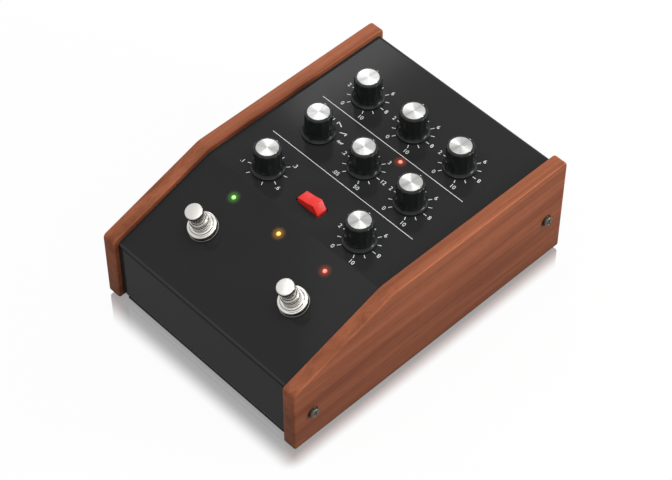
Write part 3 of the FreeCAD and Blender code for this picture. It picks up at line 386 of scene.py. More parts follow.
def rings_at(radius, height, angles):
    """Rings of points (r cos t, r sin t, z), where the radius r may change with the angle t."""
    return np.stack([radius * np.cos(angles), radius * np.sin(angles), height + 0 * angles], axis=-1)


def turned(profile, angles):
    """Rings of a turned shape, one for each point (r, z) of its profile."""
    return rings_at(profile[:, :1], profile[:, 1:], angles)


def even_angles(around):
    """Angles at even steps round a turn."""
    return np.arange(around) * TURN / around


def turned_solid(profile, around):
    """Solid turned from a profile that starts and ends at the axis."""
    return tube_of_rings(turned(profile, even_angles(around)))


def turned_ring(profile, around):
    """Pierced piece turned from a profile that comes back to its start, such as a washer."""
    return loop_of_rings(turned(profile, even_angles(around)))


def rounded(corners, steps=6):
    """Line through (a, b, radius) corners, each turned by an arc that touches its two sides.

    The arc's centre lies on the corner's bisector, radius / sin(half angle) away from it.
    """
    line = []
    for index, (a, b, radius) in enumerate(corners):
        corner = np.array((a, b), float)
        if radius == 0:
            line.append(corner[None])
            continue
        before = np.array(corners[index - 1][:2]) - corner
        after = np.array(corners[(index + 1) % len(corners)][:2]) - corner
        before /= np.linalg.norm(before)
        after /= np.linalg.norm(after)
        half = math.acos(before @ after) / 2
        middle = (before + after) / np.linalg.norm(before + after)
        centre = corner + middle * radius / math.sin(half)
        start = corner + before * radius / math.tan(half) - centre
        sweep = math.pi - 2 * half
        if before[0] * after[1] - before[1] * after[0] > 0:
            sweep = -sweep
        angles = math.atan2(start[1], start[0]) + np.linspace(0, sweep, steps + 1)
        line.append(centre + radius * np.stack([np.cos(angles), np.sin(angles)], axis=-1))
    return np.concatenate(line)


def outward(outline):
    """Outward directions at the points of an anticlockwise closed line.

    Each is long enough to keep the line's sides parallel when its points move along them.
    """
    sides = np.roll(outline, -1, axis=0) - outline
    sides /= np.linalg.norm(sides, axis=1, keepdims=True)
    normals = np.stack([sides[:, 1], -sides[:, 0]], axis=-1)
    before = np.roll(normals, 1, axis=0)
    return (before + normals) / (1 + np.sum(before * normals, axis=1, keepdims=True))


def slab(outline, low, high, edge, steps=5):
    """Plate with a rounded outline, whose two rims are quarter rounds.

    A ring lies at height low + edge (1 - cos t) and is drawn in by edge (1 - sin t), for t from 0 to
    a quarter turn, and the same from the other face. The first and last rings lie flat on the faces.
    """
    t = np.linspace(0, math.pi / 2, steps + 1)
    rim_inset = np.append(edge + FLAT_MARGIN, edge * (1 - np.sin(t)))
    rim_height = np.append(0, edge * (1 - np.cos(t)))
    inset = np.append(rim_inset, rim_inset[::-1])
    height = np.append(low + rim_height, high - rim_height[::-1])
    flat = outline - outward(outline) * inset[:, None, None]
    return np.concatenate([flat, np.broadcast_to(height[:, None, None], (*flat.shape[:2], 1))], axis=-1)


def swapped(points, axes):
    """The same points with their coordinates taken in another order."""
    return points[..., list(axes)]


def moved(surface, place):
    """Surface carried to a place."""
    matrix = np.array(place)
    return surface._replace(points=surface.points @ matrix[:3, :3].T + matrix[:3, 3])


def copies(surface, places):
    """The same surface carried to each place."""
    return [moved(surface, place) for place in places]


def bars(starts, ends, width, low, high):
    """Flat bars between pairs of points, one box each.

    A bar's corners are its ends pushed half its width to both sides, at two heights.
    """
    starts = np.array(starts, float)
    ends = np.array(ends, float)
    along = (ends - starts) / np.linalg.norm(ends - starts, axis=1, keepdims=True)
    side = np.stack([-along[:, 1], along[:, 0]], axis=-1) * width / 2
    base = np.stack([starts - side, ends - side, ends + side, starts + side], axis=1)
    levels = [np.concatenate([base, np.full((len(base), 4, 1), z)], axis=-1) for z in (low, high)]
    points = np.concatenate(levels, axis=1).reshape(-1, 3)
    box = np.array([[3, 2, 1, 0], [4, 5, 6, 7], [0, 1, 5, 4], [1, 2, 6, 5], [2, 3, 7, 6], [3, 0, 4, 7]])
    corners = (np.arange(len(base))[:, None, None] * 8 + box).ravel()
    return Surface(points, corners, np.full(len(base) * 6, 4), np.zeros((len(corners), 2)))


def digits(text, height, slant):
    """Printed text from Blender's own font, centred on the origin and leaning by slant."""
    curve = bpy.data.curves.new("text", "FONT")
    curve.body = text
    curve.align_x = "CENTER"
    curve.align_y = "CENTER"
    curve.shear = slant
    curve.resolution_u = 4
    curve.extrude = 0.5
    carrier = bpy.data.objects.new("text", curve)
    mesh = bpy.data.meshes.new_from_object(carrier)
    points = np.empty(len(mesh.vertices) * 3)
    mesh.vertices.foreach_get("co", points)
    corners = np.empty(len(mesh.loops), int)
    mesh.loops.foreach_get("vertex_index", corners)
    sizes = np.empty(len(mesh.polygons), int)
    mesh.polygons.foreach_get("loop_total", sizes)
    scale = height / FONT_DIGIT_HEIGHT
    points = points.reshape(-1, 3) * (scale, scale, INK_HIGH - INK_LOW) + (0, 0, (INK_HIGH + INK_LOW) / 2)
    bpy.data.objects.remove(carrier)
    bpy.data.curves.remove(curve)
    bpy.data.meshes.remove(mesh)
    return Surface(points, corners, sizes, np.zeros((len(corners), 2)))


# Places


def on_deck(x, from_front, turn=0.0):
    """Place on the flat deck, its Z up and zero at the paint."""
    return Matrix.Translation((x, FRONT_Y + from_front, PANEL_Z)) @ Matrix.Rotation(turn, 4, "Z")


def on_slope(x, below_kink):
    """Place on the slope, its Z square to the paint."""
    kink = Matrix.Translation((0, KINK_Y, PANEL_Z)) @ Matrix.Rotation(SLOPE, 4, "X")
    return kink @ Matrix.Translation((x, -below_kink, 0))


def lamp_places():
    """Places of the four lamps."""
    return {
        "time": on_slope(-LAMP_X, LAMP_BELOW_KINK),
        "level": on_slope(0, LAMP_BELOW_KINK),
        "bypass": on_slope(LAMP_X, LAMP_BELOW_KINK),
        "rate": on_deck(*RATE_LAMP_PLACE),
    }


def on_cheek(side, from_front, height):
    """Place on a cheek's outer face, its Z pointing away from the pedal."""
    point = (side * CHEEK_HIGH.x, FRONT_Y + from_front, CHEEK_LOW.z + height)
    return Matrix.Translation(point) @ Matrix.Rotation(side * math.pi / 2, 4, "Y")


def on_rear(x, z):
    """Place on the rear panel, its Z pointing out of the panel."""
    return Matrix.Translation((x, REAR_PANEL_Y, z)) @ Matrix.Rotation(-math.pi / 2, 4, "X")


def underneath(x, y):
    """Place on the underside of the tray, its Z pointing down."""
    return Matrix.Translation((x, y, TRAY_BOTTOM)) @ Matrix.Rotation(math.pi, 4, "X")


def dial_place(name):
    """Place of a dial on the deck, at the angle it rests at."""
    x, y = JOINTS[name + "_turn"]["pos_m"][:2]
    return on_deck(x, y - FRONT_Y, SELECTOR_TURN if name == SELECTOR else 0.0)


# Pieces


def make_piece(name, body, materials, surfaces, replaces=(), sharp=35.0):
    """Mesh object made of surfaces that are already in place, riding on a body.

    The surfaces are dealt out to the materials in order, and the last material takes the rest.
    """
    points = np.concatenate([surface.points for surface in surfaces])
    first = np.cumsum([0] + [len(surface.points) for surface in surfaces])
    corners = np.concatenate([surface.corners + start for surface, start in zip(surfaces, first)])
    sizes = np.concatenate([surface.sizes for surface in surfaces])
    uv = np.concatenate([surface.uv for surface in surfaces])
    index = [min(order, len(materials) - 1) for order in range(len(surfaces))]
    material_index = np.repeat(index, [len(surface.sizes) for surface in surfaces])
    mesh = bpy.data.meshes.new(name)
    mesh.vertices.add(len(points))
    mesh.vertices.foreach_set("co", points.ravel())
    mesh.loops.add(len(corners))
    mesh.loops.foreach_set("vertex_index", corners.astype(np.int32))
    mesh.polygons.add(len(sizes))
    mesh.polygons.foreach_set("loop_start", (np.cumsum(sizes) - sizes).astype(np.int32))
    mesh.update(calc_edges=True)
    mesh.uv_layers.new(name="UVMap").uv.foreach_set("vector", uv.ravel())
    for material in materials:
        mesh.materials.append(material)
    mesh.polygons.foreach_set("material_index", material_index.astype(np.int32))
    mesh.shade_smooth()
    mesh.set_sharp_from_angle(angle=math.radians(sharp))
    mesh.validate()
    piece = bpy.data.objects.new(name, mesh)
    bpy.context.scene.collection.objects.link(piece)
    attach(piece, body)
    if replaces:
        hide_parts(*replaces)
    return piece


def finish_nodes(material, *nodes):
    """Give CAD nodes that stay in view their material."""
    for name in nodes:
        slots = frame["nodes"][name].data.materials
        slots.clear()
        slots.append(material)


# Materials


def connect(tree, source, target):
    """Link a socket, or the first output in use of a node, to an input socket."""
    if isinstance(source, bpy.types.Node):
        source = next(output for output in source.outputs if output.enabled)
    tree.links.new(source, target)


def add_node(tree, kind, settings=None, links=None):
    """Add a shader node, set its properties and sockets, and connect sockets or other nodes to its inputs.

    A lower-case key is a property of the node, and any other key is an input's name or number.
    """
    node = tree.nodes.new("ShaderNode" + kind)
    for key, value in (settings or {}).items():
        if isinstance(key, str) and key[0].islower():
            setattr(node, key, value)
        else:
            node.inputs[key].default_value = value
    for key, source in (links or {}).items():
        connect(tree, source, node.inputs[key])
    return node


def new_material(name, settings):
    """Material with one principled shader, and its node tree and shader."""
    material = bpy.data.materials.new(name)
    material.use_nodes = True
    tree = material.node_tree
    shader = tree.nodes["Principled BSDF"]
    for key, value in settings.items():
        shader.inputs[key].default_value = value
    return material, tree, shader


def set_ramp(node, stops):
    """Give a colour ramp its (position, colour) stops."""
    elements = node.color_ramp.elements
    while len(elements) < len(stops):
        elements.new(0.5)
    for element, (position, colour) in zip(elements, stops):
        element.position = position
        element.color = colour
    return node


def stretched_noise(tree, size, offset=(0, 0, 0), detail=2.0, distortion=0.0):
    """Noise on object coordinates whose blotches are as long as size along X, Y and Z."""
    place = add_node(tree, "TexCoord")
    mapping = add_node(
        tree, "Mapping", {"Location": offset, "Scale": [1 / length for length in size]},
        {"Vector": place.outputs["Object"]},
    )
    return add_node(
        tree, "TexNoise", {"Scale": 1.0, "Detail": detail, "Distortion": distortion},
        {"Vector": mapping},
    )


def add_bump(tree, shader, height, distance, strength=1.0):
    """Bump the shader by a height node or socket, distance deep."""
    bump = add_node(tree, "Bump", {"Strength": strength, "Distance": distance}, {"Height": height})
    connect(tree, bump, shader.inputs["Normal"])


def vary_roughness(tree, shader, factor, low, high):
    """Let a factor node or socket move the roughness between two values."""
    spread = add_node(tree, "MapRange", {"To Min": low, "To Max": high}, {"Value": factor})
    connect(tree, spread, shader.inputs["Roughness"])


def stained_wood(name, colours, offset):
    """Hardwood stained red-brown, planed and lacquered.

    Soft dark bands run the length of the board, and fine dark pores lie along them. A painted
    highlight brightens the edges, where V of the board's rings is near ARRIS or 1 - ARRIS, and a
    painted shade darkens the colour towards the foot.
    """
    material, tree, shader = new_material(name, {
        "Roughness": 0.5, "IOR": 1.5, "Specular IOR Level": 0.08, "Coat Weight": 0.02,
        "Coat Roughness": 0.2,
    })
    bands = stretched_noise(tree, BAND_SIZE, offset, detail=4.0, distortion=0.35)
    streaks = stretched_noise(tree, STREAK_SIZE, offset, detail=3.0, distortion=0.2)
    pores = stretched_noise(tree, PORE_SIZE, offset)
    blend = add_node(tree, "Math", {"operation": "MULTIPLY_ADD", 1: 0.4}, {0: streaks, 2: bands})
    tone = add_node(tree, "ValToRGB", None, {"Fac": blend})
    set_ramp(tone, [(0.50, colours.wood_dark), (0.66, colours.wood_middle), (0.84, colours.wood_light)])
    pore_mask = set_ramp(
        add_node(tree, "ValToRGB", None, {"Fac": pores}),
        [(0.30, (0.55, 0.5, 0.48, 1)), (0.42, (1, 1, 1, 1))],
    )
    colour = add_node(
        tree, "Mix", {"data_type": "RGBA", "blend_type": "MULTIPLY", "Factor": 0.55},
        {"A": tone, "B": pore_mask},
    )
    rings = add_node(tree, "SeparateXYZ", None, {"Vector": add_node(tree, "UVMap", {"uv_map": "UVMap"})})
    folded = add_node(tree, "Math", {"operation": "PINGPONG", 1: 0.5}, {0: rings.outputs["Y"]})
    past_arris = add_node(tree, "Math", {"operation": "SUBTRACT", 1: 1 - ARRIS}, {0: folded})
    from_arris = add_node(tree, "Math", {"operation": "ABSOLUTE"}, {0: past_arris})
    # Painted highlight: the colour is brightened along both rims of the board.
    painted_edge_highlight = add_node(
        tree, "MapRange", {"From Max": ARRIS_HIGHLIGHT_REACH, "To Min": ARRIS_HIGHLIGHT, "To Max": 1.0},
        {"Value": from_arris},
    )
    spot = add_node(tree, "SeparateXYZ", None, {"Vector": add_node(tree, "TexCoord").outputs["Object"]})
    # Painted shade: the colour is darker towards the foot of the board.
    painted_foot_shade = add_node(
        tree, "MapRange",
        {"From Min": FOOT_SHADE_LOW, "From Max": FOOT_SHADE_HIGH, "To Min": FOOT_SHADE, "To Max": 1.0},
        {"Value": spot.outputs["Z"]},
    )
    # The painted highlight and the painted shade scale the wood's colour together.
    depth = add_node(tree, "Math", {"operation": "MULTIPLY"}, {0: painted_edge_highlight, 1: painted_foot_shade})
    edged = add_node(tree, "VectorMath", {"operation": "SCALE"}, {0: colour, "Scale": depth})
    connect(tree, edged, shader.inputs["Base Color"])
    vary_roughness(tree, shader, bands, 0.42, 0.58)
    add_bump(tree, shader, pore_mask, 0.06 * MM, 0.5)
    return material


def add_painted_lamp_glow(tree, shader, lamps):
    """Painted light of small lamps on the surface round them, drawn as a glow in its emission.

    It is strongest at a lens and gone GLOW_REACH from its middle.
    """
    place = add_node(tree, "TexCoord")
    total = None
    for spot, colour in lamps:
        away = add_node(tree, "VectorMath", {"operation": "DISTANCE", 1: spot}, {0: place.outputs["Object"]})
        near = add_node(
            tree, "MapRange",
            {"interpolation_type": "SMOOTHERSTEP", "From Min": GLOW_CORE, "From Max": GLOW_REACH,
             "To Min": 1.0, "To Max": 0.0},
            {"Value": away},
        )
        light = add_node(tree, "VectorMath", {"operation": "SCALE", 0: colour[:3]}, {"Scale": near})
        if total:
            light = add_node(tree, "VectorMath", {"operation": "ADD"}, {0: total, 1: light})
        total = light
    connect(tree, total, shader.inputs["Emission Color"])
    shader.inputs["Emission Strength"].default_value = GLOW_STRENGTH


def add_painted_fold_highlight_and_shade(tree, shader):
    """Painted highlight as a thin pale line along the front fold's outer corner, and a painted shade as a
    dark one under it.

    A point's place across the fold is its dot product with FOLD_LINE_ACROSS, which grows up the
    front wall and on up the slope. The ramp's tones are halves, so the product is doubled.
    """
    corner = Vector((0, COVER_FRONT, PANEL_Z - math.tan(SLOPE) * (KINK_Y - COVER_FRONT)))
    middle = corner.dot(Vector(FOLD_LINE_ACROSS))
    place = add_node(tree, "TexCoord")
    sweep = add_node(
        tree, "VectorMath", {"operation": "DOT_PRODUCT", 1: FOLD_LINE_ACROSS}, {0: place.outputs["Object"]},
    )
    share = add_node(
        tree, "MapRange", {"From Min": middle - FOLD_LINE_HALF, "From Max": middle + FOLD_LINE_HALF},
        {"Value": sweep},
    )
    tone = set_ramp(
        add_node(tree, "ValToRGB", None, {"Fac": share}),
        [(where, (level, level, level, 1))
         for where, level in ((0.08, 0.5), (0.18, 0.2), (0.35, 0.2), (0.46, 1), (0.76, 1), (0.92, 0.5))],
    )
    shade = shader.inputs["Base Color"].links[0].from_socket
    painted_fold_colour = add_node(
        tree, "Mix", {"data_type": "RGBA", "blend_type": "MULTIPLY", "Factor": 1.0},
        {"A": shade, "B": tone},
    )
    doubled = add_node(tree, "VectorMath", {"operation": "SCALE", "Scale": 2.0}, {0: painted_fold_colour})
    connect(tree, doubled, shader.inputs["Base Color"])


def powder_coat(name, colour):
    """Polyester powder coat on steel, baked to a fine matt with a slight orange peel.

    Its grit, some 0.1 mm wide, is too fine to show, so it is drawn coarser. The tree and the shader
    come with the material, for the painted lamp glow and the painted fold highlight and shade that
    lie on the cover's paint.
    """
    material, tree, shader = new_material(name, {"IOR": 1.5, "Specular IOR Level": 0.06})
    grit = stretched_noise(tree, (0.7 * MM,) * 3, detail=3.0)
    cloud = stretched_noise(tree, (35 * MM,) * 3, detail=2.0)
    shade = add_node(
        tree, "Mix", {"data_type": "RGBA", "B": [c * 1.25 for c in colour[:3]] + [1], "A": colour},
        {"Factor": grit},
    )
    connect(tree, shade, shader.inputs["Base Color"])
    vary_roughness(tree, shader, cloud, 0.08, 0.12)
    add_bump(tree, shader, grit, 0.008 * MM, 0.5)
    return material, tree, shader


def moulded_plastic(name, colour, roughness, grain=0.0, shine=0.5):
    """Injection-moulded plastic: polished tools leave it glossy, and blasted ones give it a fine grain."""
    settings = {"Base Color": colour, "IOR": 1.5, "Specular IOR Level": shine}
    material, tree, shader = new_material(name, settings)
    texture = stretched_noise(tree, (0.8 * MM,) * 3, detail=3.0)
    vary_roughness(tree, shader, texture, roughness * 0.85, roughness * 1.15)
    if grain:
        add_bump(tree, shader, texture, grain, 0.6)
    return material


def spun_aluminium(name, colour):
    """Aluminium disc faced on a lathe: its fine rings spread the light into bright and dark fans.

    U runs along the rings, so the spread across them is a quarter turn from the tangent. Bright and
    dark sectors are also painted into the colour round the disc, a painted reflection that splits
    the fans. The tool marks, about 0.05 mm apart, are too fine to show, so they are drawn coarser.
    """
    material, tree, shader = new_material(name, {
        "Base Color": colour, "Metallic": 1.0, "Roughness": 0.28, "Anisotropic": 0.9,
        "Anisotropic Rotation": 0.25,
    })
    tangent = add_node(tree, "Tangent", {"direction_type": "UV_MAP", "uv_map": "UVMap"})
    connect(tree, tangent, shader.inputs["Tangent"])
    place = add_node(tree, "UVMap", {"uv_map": "UVMap"})
    rings = add_node(tree, "Mapping", {"Scale": (0.5, 45.0, 1.0)}, {"Vector": place})
    lines = add_node(tree, "TexNoise", {"Scale": 1.0, "Detail": 2.0}, {"Vector": rings})
    vary_roughness(tree, shader, lines, 0.24, 0.34)
    # Painted reflection: sectors round the disc brighten and darken the colour like fans of light.
    fans = add_node(tree, "Mapping", {"Scale": (9.0, 0.2, 1.0)}, {"Vector": place})
    painted_fan_wedges = add_node(tree, "TexNoise", {"Scale": 1.0, "Detail": 1.0}, {"Vector": fans})
    painted_fan_tone = add_node(
        tree, "MapRange", {"From Min": 0.35, "From Max": 0.6, "To Min": 0.84, "To Max": 1.06},
        {"Value": painted_fan_wedges},
    )
    shade = add_node(tree, "VectorMath", {"operation": "SCALE", 0: colour[:3]}, {"Scale": painted_fan_tone})
    connect(tree, shade, shader.inputs["Base Color"])
    return material


def plated_metal(name, colour, roughness, mottle=3.0 * MM):
    """Plated or blackened metal with a satin finish, uneven from handling in patches of size mottle."""
    material, tree, shader = new_material(name, {"Base Color": colour, "Metallic": 1.0})
    cloud = stretched_noise(tree, (mottle,) * 3, detail=3.0)
    vary_roughness(tree, shader, cloud, roughness * 0.75, roughness * 1.25)
    return material


def screen_ink(name, colour):
    """Epoxy ink pulled through a screen: flat, slightly toothed and satin."""
    material, tree, shader = new_material(name, {"Base Color": colour, "Roughness": 0.55})
    tooth = stretched_noise(tree, (0.3 * MM,) * 3, detail=2.0)
    vary_roughness(tree, shader, tooth, 0.45, 0.65)
    return material


def soft_rubber(name, colour):
    """Moulded rubber with a dull skin and a fine bloom."""
    material, tree, shader = new_material(name, {"Base Color": colour, "Specular IOR Level": 0.35})
    bloom = stretched_noise(tree, (1.2 * MM,) * 3, detail=4.0)
    vary_roughness(tree, shader, bloom, 0.7, 0.95)
    add_bump(tree, shader, bloom, 0.05 * MM, 0.5)
    return material


def lit_lens(name, glow, core):
    """Coloured epoxy lens lit from inside: pale where the chip shows through its middle.

    V runs up the lens, so the glow turns from the colour at its foot to the pale core at its top.
    """
    material, tree, shader = new_material(name, {"Base Color": glow, "Roughness": 0.12, "IOR": 1.53})
    place = add_node(tree, "UVMap", {"uv_map": "UVMap"})
    height = add_node(tree, "SeparateXYZ", None, {"Vector": place})
    shade = set_ramp(
        add_node(tree, "ValToRGB", None, {"Fac": height.outputs["Y"]}), [(0.3, glow), (0.8, core)],
    )
    connect(tree, shade, shader.inputs["Emission Color"])
    shader.inputs["Emission Strength"].default_value = 1.0
    return material


def solder_mask(name):
    """Glass-fibre board under green solder mask, with copper tracks showing as paler lines."""
    material, tree, shader = new_material(name, {"Roughness": 0.35, "IOR": 1.5})
    place = add_node(tree, "TexCoord")
    tracks = add_node(
        tree, "TexBrick",
        {"Color1": linear("#1d5a34"), "Color2": linear("#17492b"), "Mortar": linear("#2c7a48"),
         "Scale": 1 / TRACK_LENGTH, "Mortar Size": 0.03, "Brick Width": 1.0, "Row Height": 0.35},
        {"Vector": place.outputs["Object"]},
    )
    connect(tree, tracks, shader.inputs["Base Color"])
    add_bump(tree, shader, tracks.outputs["Fac"], 0.03 * MM)
    return material


def ribbon_pvc(name):
    """Flat cable of grey PVC, its round conductors side by side, with painted shade in the grooves between
    them and paler crests.

    Blender's wave repeats 20 times in a turn of its scaled coordinate.
    """
    material, tree, shader = new_material(name, {"Roughness": 0.5})
    place = add_node(tree, "TexCoord")
    wires = add_node(
        tree, "TexWave", {"bands_direction": "X", "Scale": TURN / (20 * RIBBON_PITCH), "Distortion": 0.0},
        {"Vector": place.outputs["Object"]},
    )
    # Painted shade: the grooves between the conductors are darker and the crests paler.
    shade = set_ramp(
        add_node(tree, "ValToRGB", None, {"Fac": wires.outputs["Fac"]}),
        [(0.1, linear("#6f7072")), (0.6, linear("#a2a3a4"))],
    )
    connect(tree, shade, shader.inputs["Base Color"])
    add_bump(tree, shader, wires.outputs["Fac"], 0.2 * MM)
    return material


# Pieces of the pedal, one operator for each group


def cheek_outline():
    """Side view of a cheek, anticlockwise with Y to the right."""
    rear = CHEEK_HIGH.y
    low = CHEEK_LOW.z
    corners = [
        (FRONT_Y, low, CHEEK_FOOT_CORNER),
        (rear, low, CHEEK_FOOT_CORNER),
        (rear, CHEEK_HIGH.z, CHEEK_TOP_CORNER),
        (FRONT_Y + CHEEK_KINK, CHEEK_HIGH.z, CHEEK_KINK_ROUND),
        (FRONT_Y, low + CHEEK_FRONT_HEIGHT, CHEEK_TOP_CORNER),
    ]
    return rounded(corners)


class PEDAL_OT_cheeks(Operator):
    """Make the two wooden cheeks"""

    bl_idname = "pedal.cheeks"
    bl_label = "Cheeks"

    def execute(self, context):
        sizes = context.scene.pedal_sizes
        colours = context.scene.pedal_colours
        for name, offset in BOARD_OFFSETS.items():
            low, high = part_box(name)
            board = swapped(slab(cheek_outline(), low.x, high.x, sizes.cheek_edge), (2, 0, 1))
            wood = stained_wood(name + "_wood", colours, offset)
            make_piece(name + "_board", "case", [wood], [tube_of_rings(board)], [name])
        return {"FINISHED"}


class PEDAL_OT_case(Operator):
    """Finish the folded cover, the rear panel and the tray"""

    bl_idname = "pedal.case"
    bl_label = "Steel case"

    def execute(self, context):
        colours = context.scene.pedal_colours
        paint, *_ = powder_coat("black_powder_coat", colours.paint)
        finish_nodes(paint, "rear_panel", "base_tray")
        # The cover's paint takes the lamps' light painted into it as a glow.
        glow_painted_coat, tree, shader = powder_coat("lamp_lit_powder_coat", colours.paint)
        glows = {
            "time": colours.green_lamp, "level": colours.amber_lamp, "bypass": colours.red_lamp,
            "rate": colours.red_lamp,
        }
        add_painted_lamp_glow(tree, shader, [(lamp_places()[name].translation, glow) for name, glow in glows.items()])
        add_painted_fold_highlight_and_shade(tree, shader)
        finish_nodes(glow_painted_coat, "top_cover")
        return {"FINISHED"}


def cross_recess(x, y, reach, depth):
    """Depth of a cross recess at (x, y), a hollow that falls to the middle along two crossed arms.

    It is the depth times the root of 1 - r / reach, times a smooth step w w (3 - 2 w) up each
    arm's sides.
    """
    arm = CROSS_ARM * reach
    side = CROSS_SIDE * reach
    across = np.minimum(np.abs(x), np.abs(y))
    step = np.clip((arm + side - across) / side, 0, 1)
    fall = np.clip(1 - np.hypot(x, y) / reach, 0, 1) ** 0.5
    return depth * fall * step * step * (3 - 2 * step)


def screw_head(head_radius, height, shank_radius, seat):
    """Pan head with a cross recess, on a short length of its shank, standing on height seat.

    Its crown is (radius sin t, seat + height (1 - c + c cos t)), with c the share CROWN_SHARE and t
    from a quarter turn to the middle.
    """
    crown = [(head_radius * math.sin(t), seat + height * (1 - CROWN_SHARE + CROWN_SHARE * math.cos(t)))
             for t in np.linspace(math.pi / 2, 0.01, 26)]
    low = [(shank_radius, seat - 2 * height), (shank_radius, seat), (head_radius, seat)]
    rings = turned(np.array(low + crown), even_angles(96))
    sunk = cross_recess(rings[..., 0], rings[..., 1], CROSS_REACH * head_radius, CROSS_DEPTH * height)
    rings[len(low):, :, 2] -= sunk[len(low):]
    return tube_of_rings(rings)


def cup_washer():
    """Cup washer under a screw head: a low cone with a rolled lip."""
    profile = rounded([
        (CUP_BORE, 0, 0), (CUP_RADIUS, 0, 0), (CUP_RADIUS, 0.25 * MM, 0.2 * MM),
        (CUP_LIP_RADIUS, CUP_HEIGHT, 0.25 * MM), (CUP_BORE, CUP_HEIGHT, 0),
    ])
    return turned_ring(profile, around=72)


class PEDAL_OT_cheek_screws(Operator):
    """Make the screws and cup washers in the cheeks"""

    bl_idname = "pedal.cheek_screws"
    bl_label = "Cheek screws"

    def execute(self, context):
        depth = CHEEK_HIGH.y - CHEEK_LOW.y
        front = (CHEEK_SCREW_FROM_END, FRONT_SCREW_HEIGHT)
        rear = (depth - CHEEK_SCREW_FROM_END, REAR_SCREW_HEIGHT)
        places = [on_cheek(side, *spot) for side in (-1, 1) for spot in (front, rear)]
        head = screw_head(SCREW_HEAD_RADIUS, SCREW_HEAD_HEIGHT, SCREW_SHANK_RADIUS, CUP_HEIGHT)
        steel = plated_metal("black_oxide_steel", linear("#6e6a62"), 0.42)
        washer_steel = plated_metal("black_washer_steel", linear("#382e28"), 0.4)
        make_piece(
            "cheek_screw_heads", "case", [steel], copies(head, places), ["cheek_screws"],
        )
        make_piece(
            "cheek_cup_washers", "case", [washer_steel], copies(cup_washer(), places),
            ["cheek_washers"],
        )
        finish_nodes(plated_metal("zinc_plated_nuts", ZINC, 0.35), "press_nuts")
        return {"FINISHED"}


def rubber_foot():
    """Round foot, narrower at the floor, with rounded rims and a shallow dimple in its sole."""
    height = TRAY_BOTTOM
    dimple = height - FOOT_DIMPLE_DEPTH
    profile = rounded([
        (FOOT_RADIUS, 0, 0), (FOOT_RADIUS - FOOT_TAPER, height, 0.5 * MM),
        (FOOT_DIMPLE_RADIUS, height, 0.3 * MM), (FOOT_DIMPLE_RADIUS - 0.4 * MM, dimple, 0.3 * MM),
        (2 * PINHOLE, dimple, 0),
    ])
    return turned_solid(profile, around=72)


class PEDAL_OT_underside(Operator):
    """Make the rubber feet and the screws under the tray"""

    bl_idname = "pedal.underside"
    bl_label = "Underside"

    def execute(self, context):
        low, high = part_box("rubber_feet")
        corners = [underneath(x, y) for x in (low.x + FOOT_RADIUS, high.x - FOOT_RADIUS)
                   for y in (low.y + FOOT_RADIUS, high.y - FOOT_RADIUS)]
        feet = copies(rubber_foot(), corners)
        rubber = soft_rubber("black_rubber", linear("#1c1c1c"))
        make_piece("moulded_feet", "case", [rubber], feet, ["rubber_feet"])
        front = FRONT_Y + COVER_FRONT_INSET + BASE_SCREW_FROM_EDGE
        rear = CHEEK_HIGH.y - COVER_REAR_INSET - BASE_SCREW_FROM_EDGE
        head = screw_head(BASE_HEAD_RADIUS, BASE_HEAD_HEIGHT, BASE_SHANK_RADIUS, 0.0)
        places = [underneath(side * BASE_SCREW_X, y) for side in (-1, 1) for y in (front, rear)]
        steel = plated_metal("black_base_screws", linear("#3c3b3a"), 0.4)
        make_piece("base_screw_heads", "case", [steel], copies(head, places), ["base_screws"])
        return {"FINISHED"}


def flute_angles(count, fine=14):
    """Angles round a fluted grip, dense in the flutes and with one step on each edge of a ridge."""
    pitch = TURN / count
    ridge = RIDGE_WIDTH / 2 / GRIP_RADIUS
    one = np.append(np.linspace(-ridge, ridge, 3)[:-1], np.linspace(ridge, pitch - ridge, fine)[:-1])
    return (one + (np.arange(count)[:, None] + 0.5) * pitch).ravel() + math.pi / 2


def flute_shape(angles, count):
    """How hollow the grip is at each angle.

    It is 1 - t squared, with t = 0 in the middle of a flute and 1 at a ridge's edge.
    """
    pitch = TURN / count
    ridge = RIDGE_WIDTH / 2 / GRIP_RADIUS
    from_middle = (angles - math.pi / 2 + pitch / 2) % pitch - pitch / 2
    return np.clip(1 - (from_middle / (pitch / 2 - ridge)) ** 2, 0, 1)


def skirt_profile(steps=16):
    """Flared skirt: its radius falls from the edge to the grip as (1 - t) to the power of its sweep."""
    t = np.linspace(0, 1, steps)
    low = KNOB_LIFT + SKIRT_EDGE_HEIGHT
    radius = SKIRT_TOP_RADIUS + (SKIRT_RADIUS - SKIRT_TOP_RADIUS) * (1 - t) ** SKIRT_SWEEP
    return np.stack([radius, low + (GRIP_BASE_HEIGHT - low) * t], axis=-1)


def grip_profile(steps=10):
    """Outside of the grip: a straight wall and a bevelled rim that ends at the cap's seat."""
    high = KNOB_TOP - RIM_BEVEL
    wall = np.stack([np.full(steps, GRIP_RADIUS), np.linspace(GRIP_FOOT, high, steps)], axis=-1)
    bevel = rounded([
        (GRIP_RADIUS, high - 1.0 * MM, 0), (GRIP_RADIUS, high, 0.35 * MM),
        (GRIP_RADIUS - RIM_BEVEL, KNOB_TOP, 0.2 * MM), (CAP_RADIUS, KNOB_TOP, 0),
    ], steps=3)
    return np.concatenate([wall[:-1], bevel[1:]])


def flute_share(grip):
    """How much of its depth a flute has at points of the grip: it runs out towards the grip's foot."""
    return np.clip((grip[:, 1] - GRIP_BASE_HEIGHT) / FLUTE_RUNOUT, 0, 1)


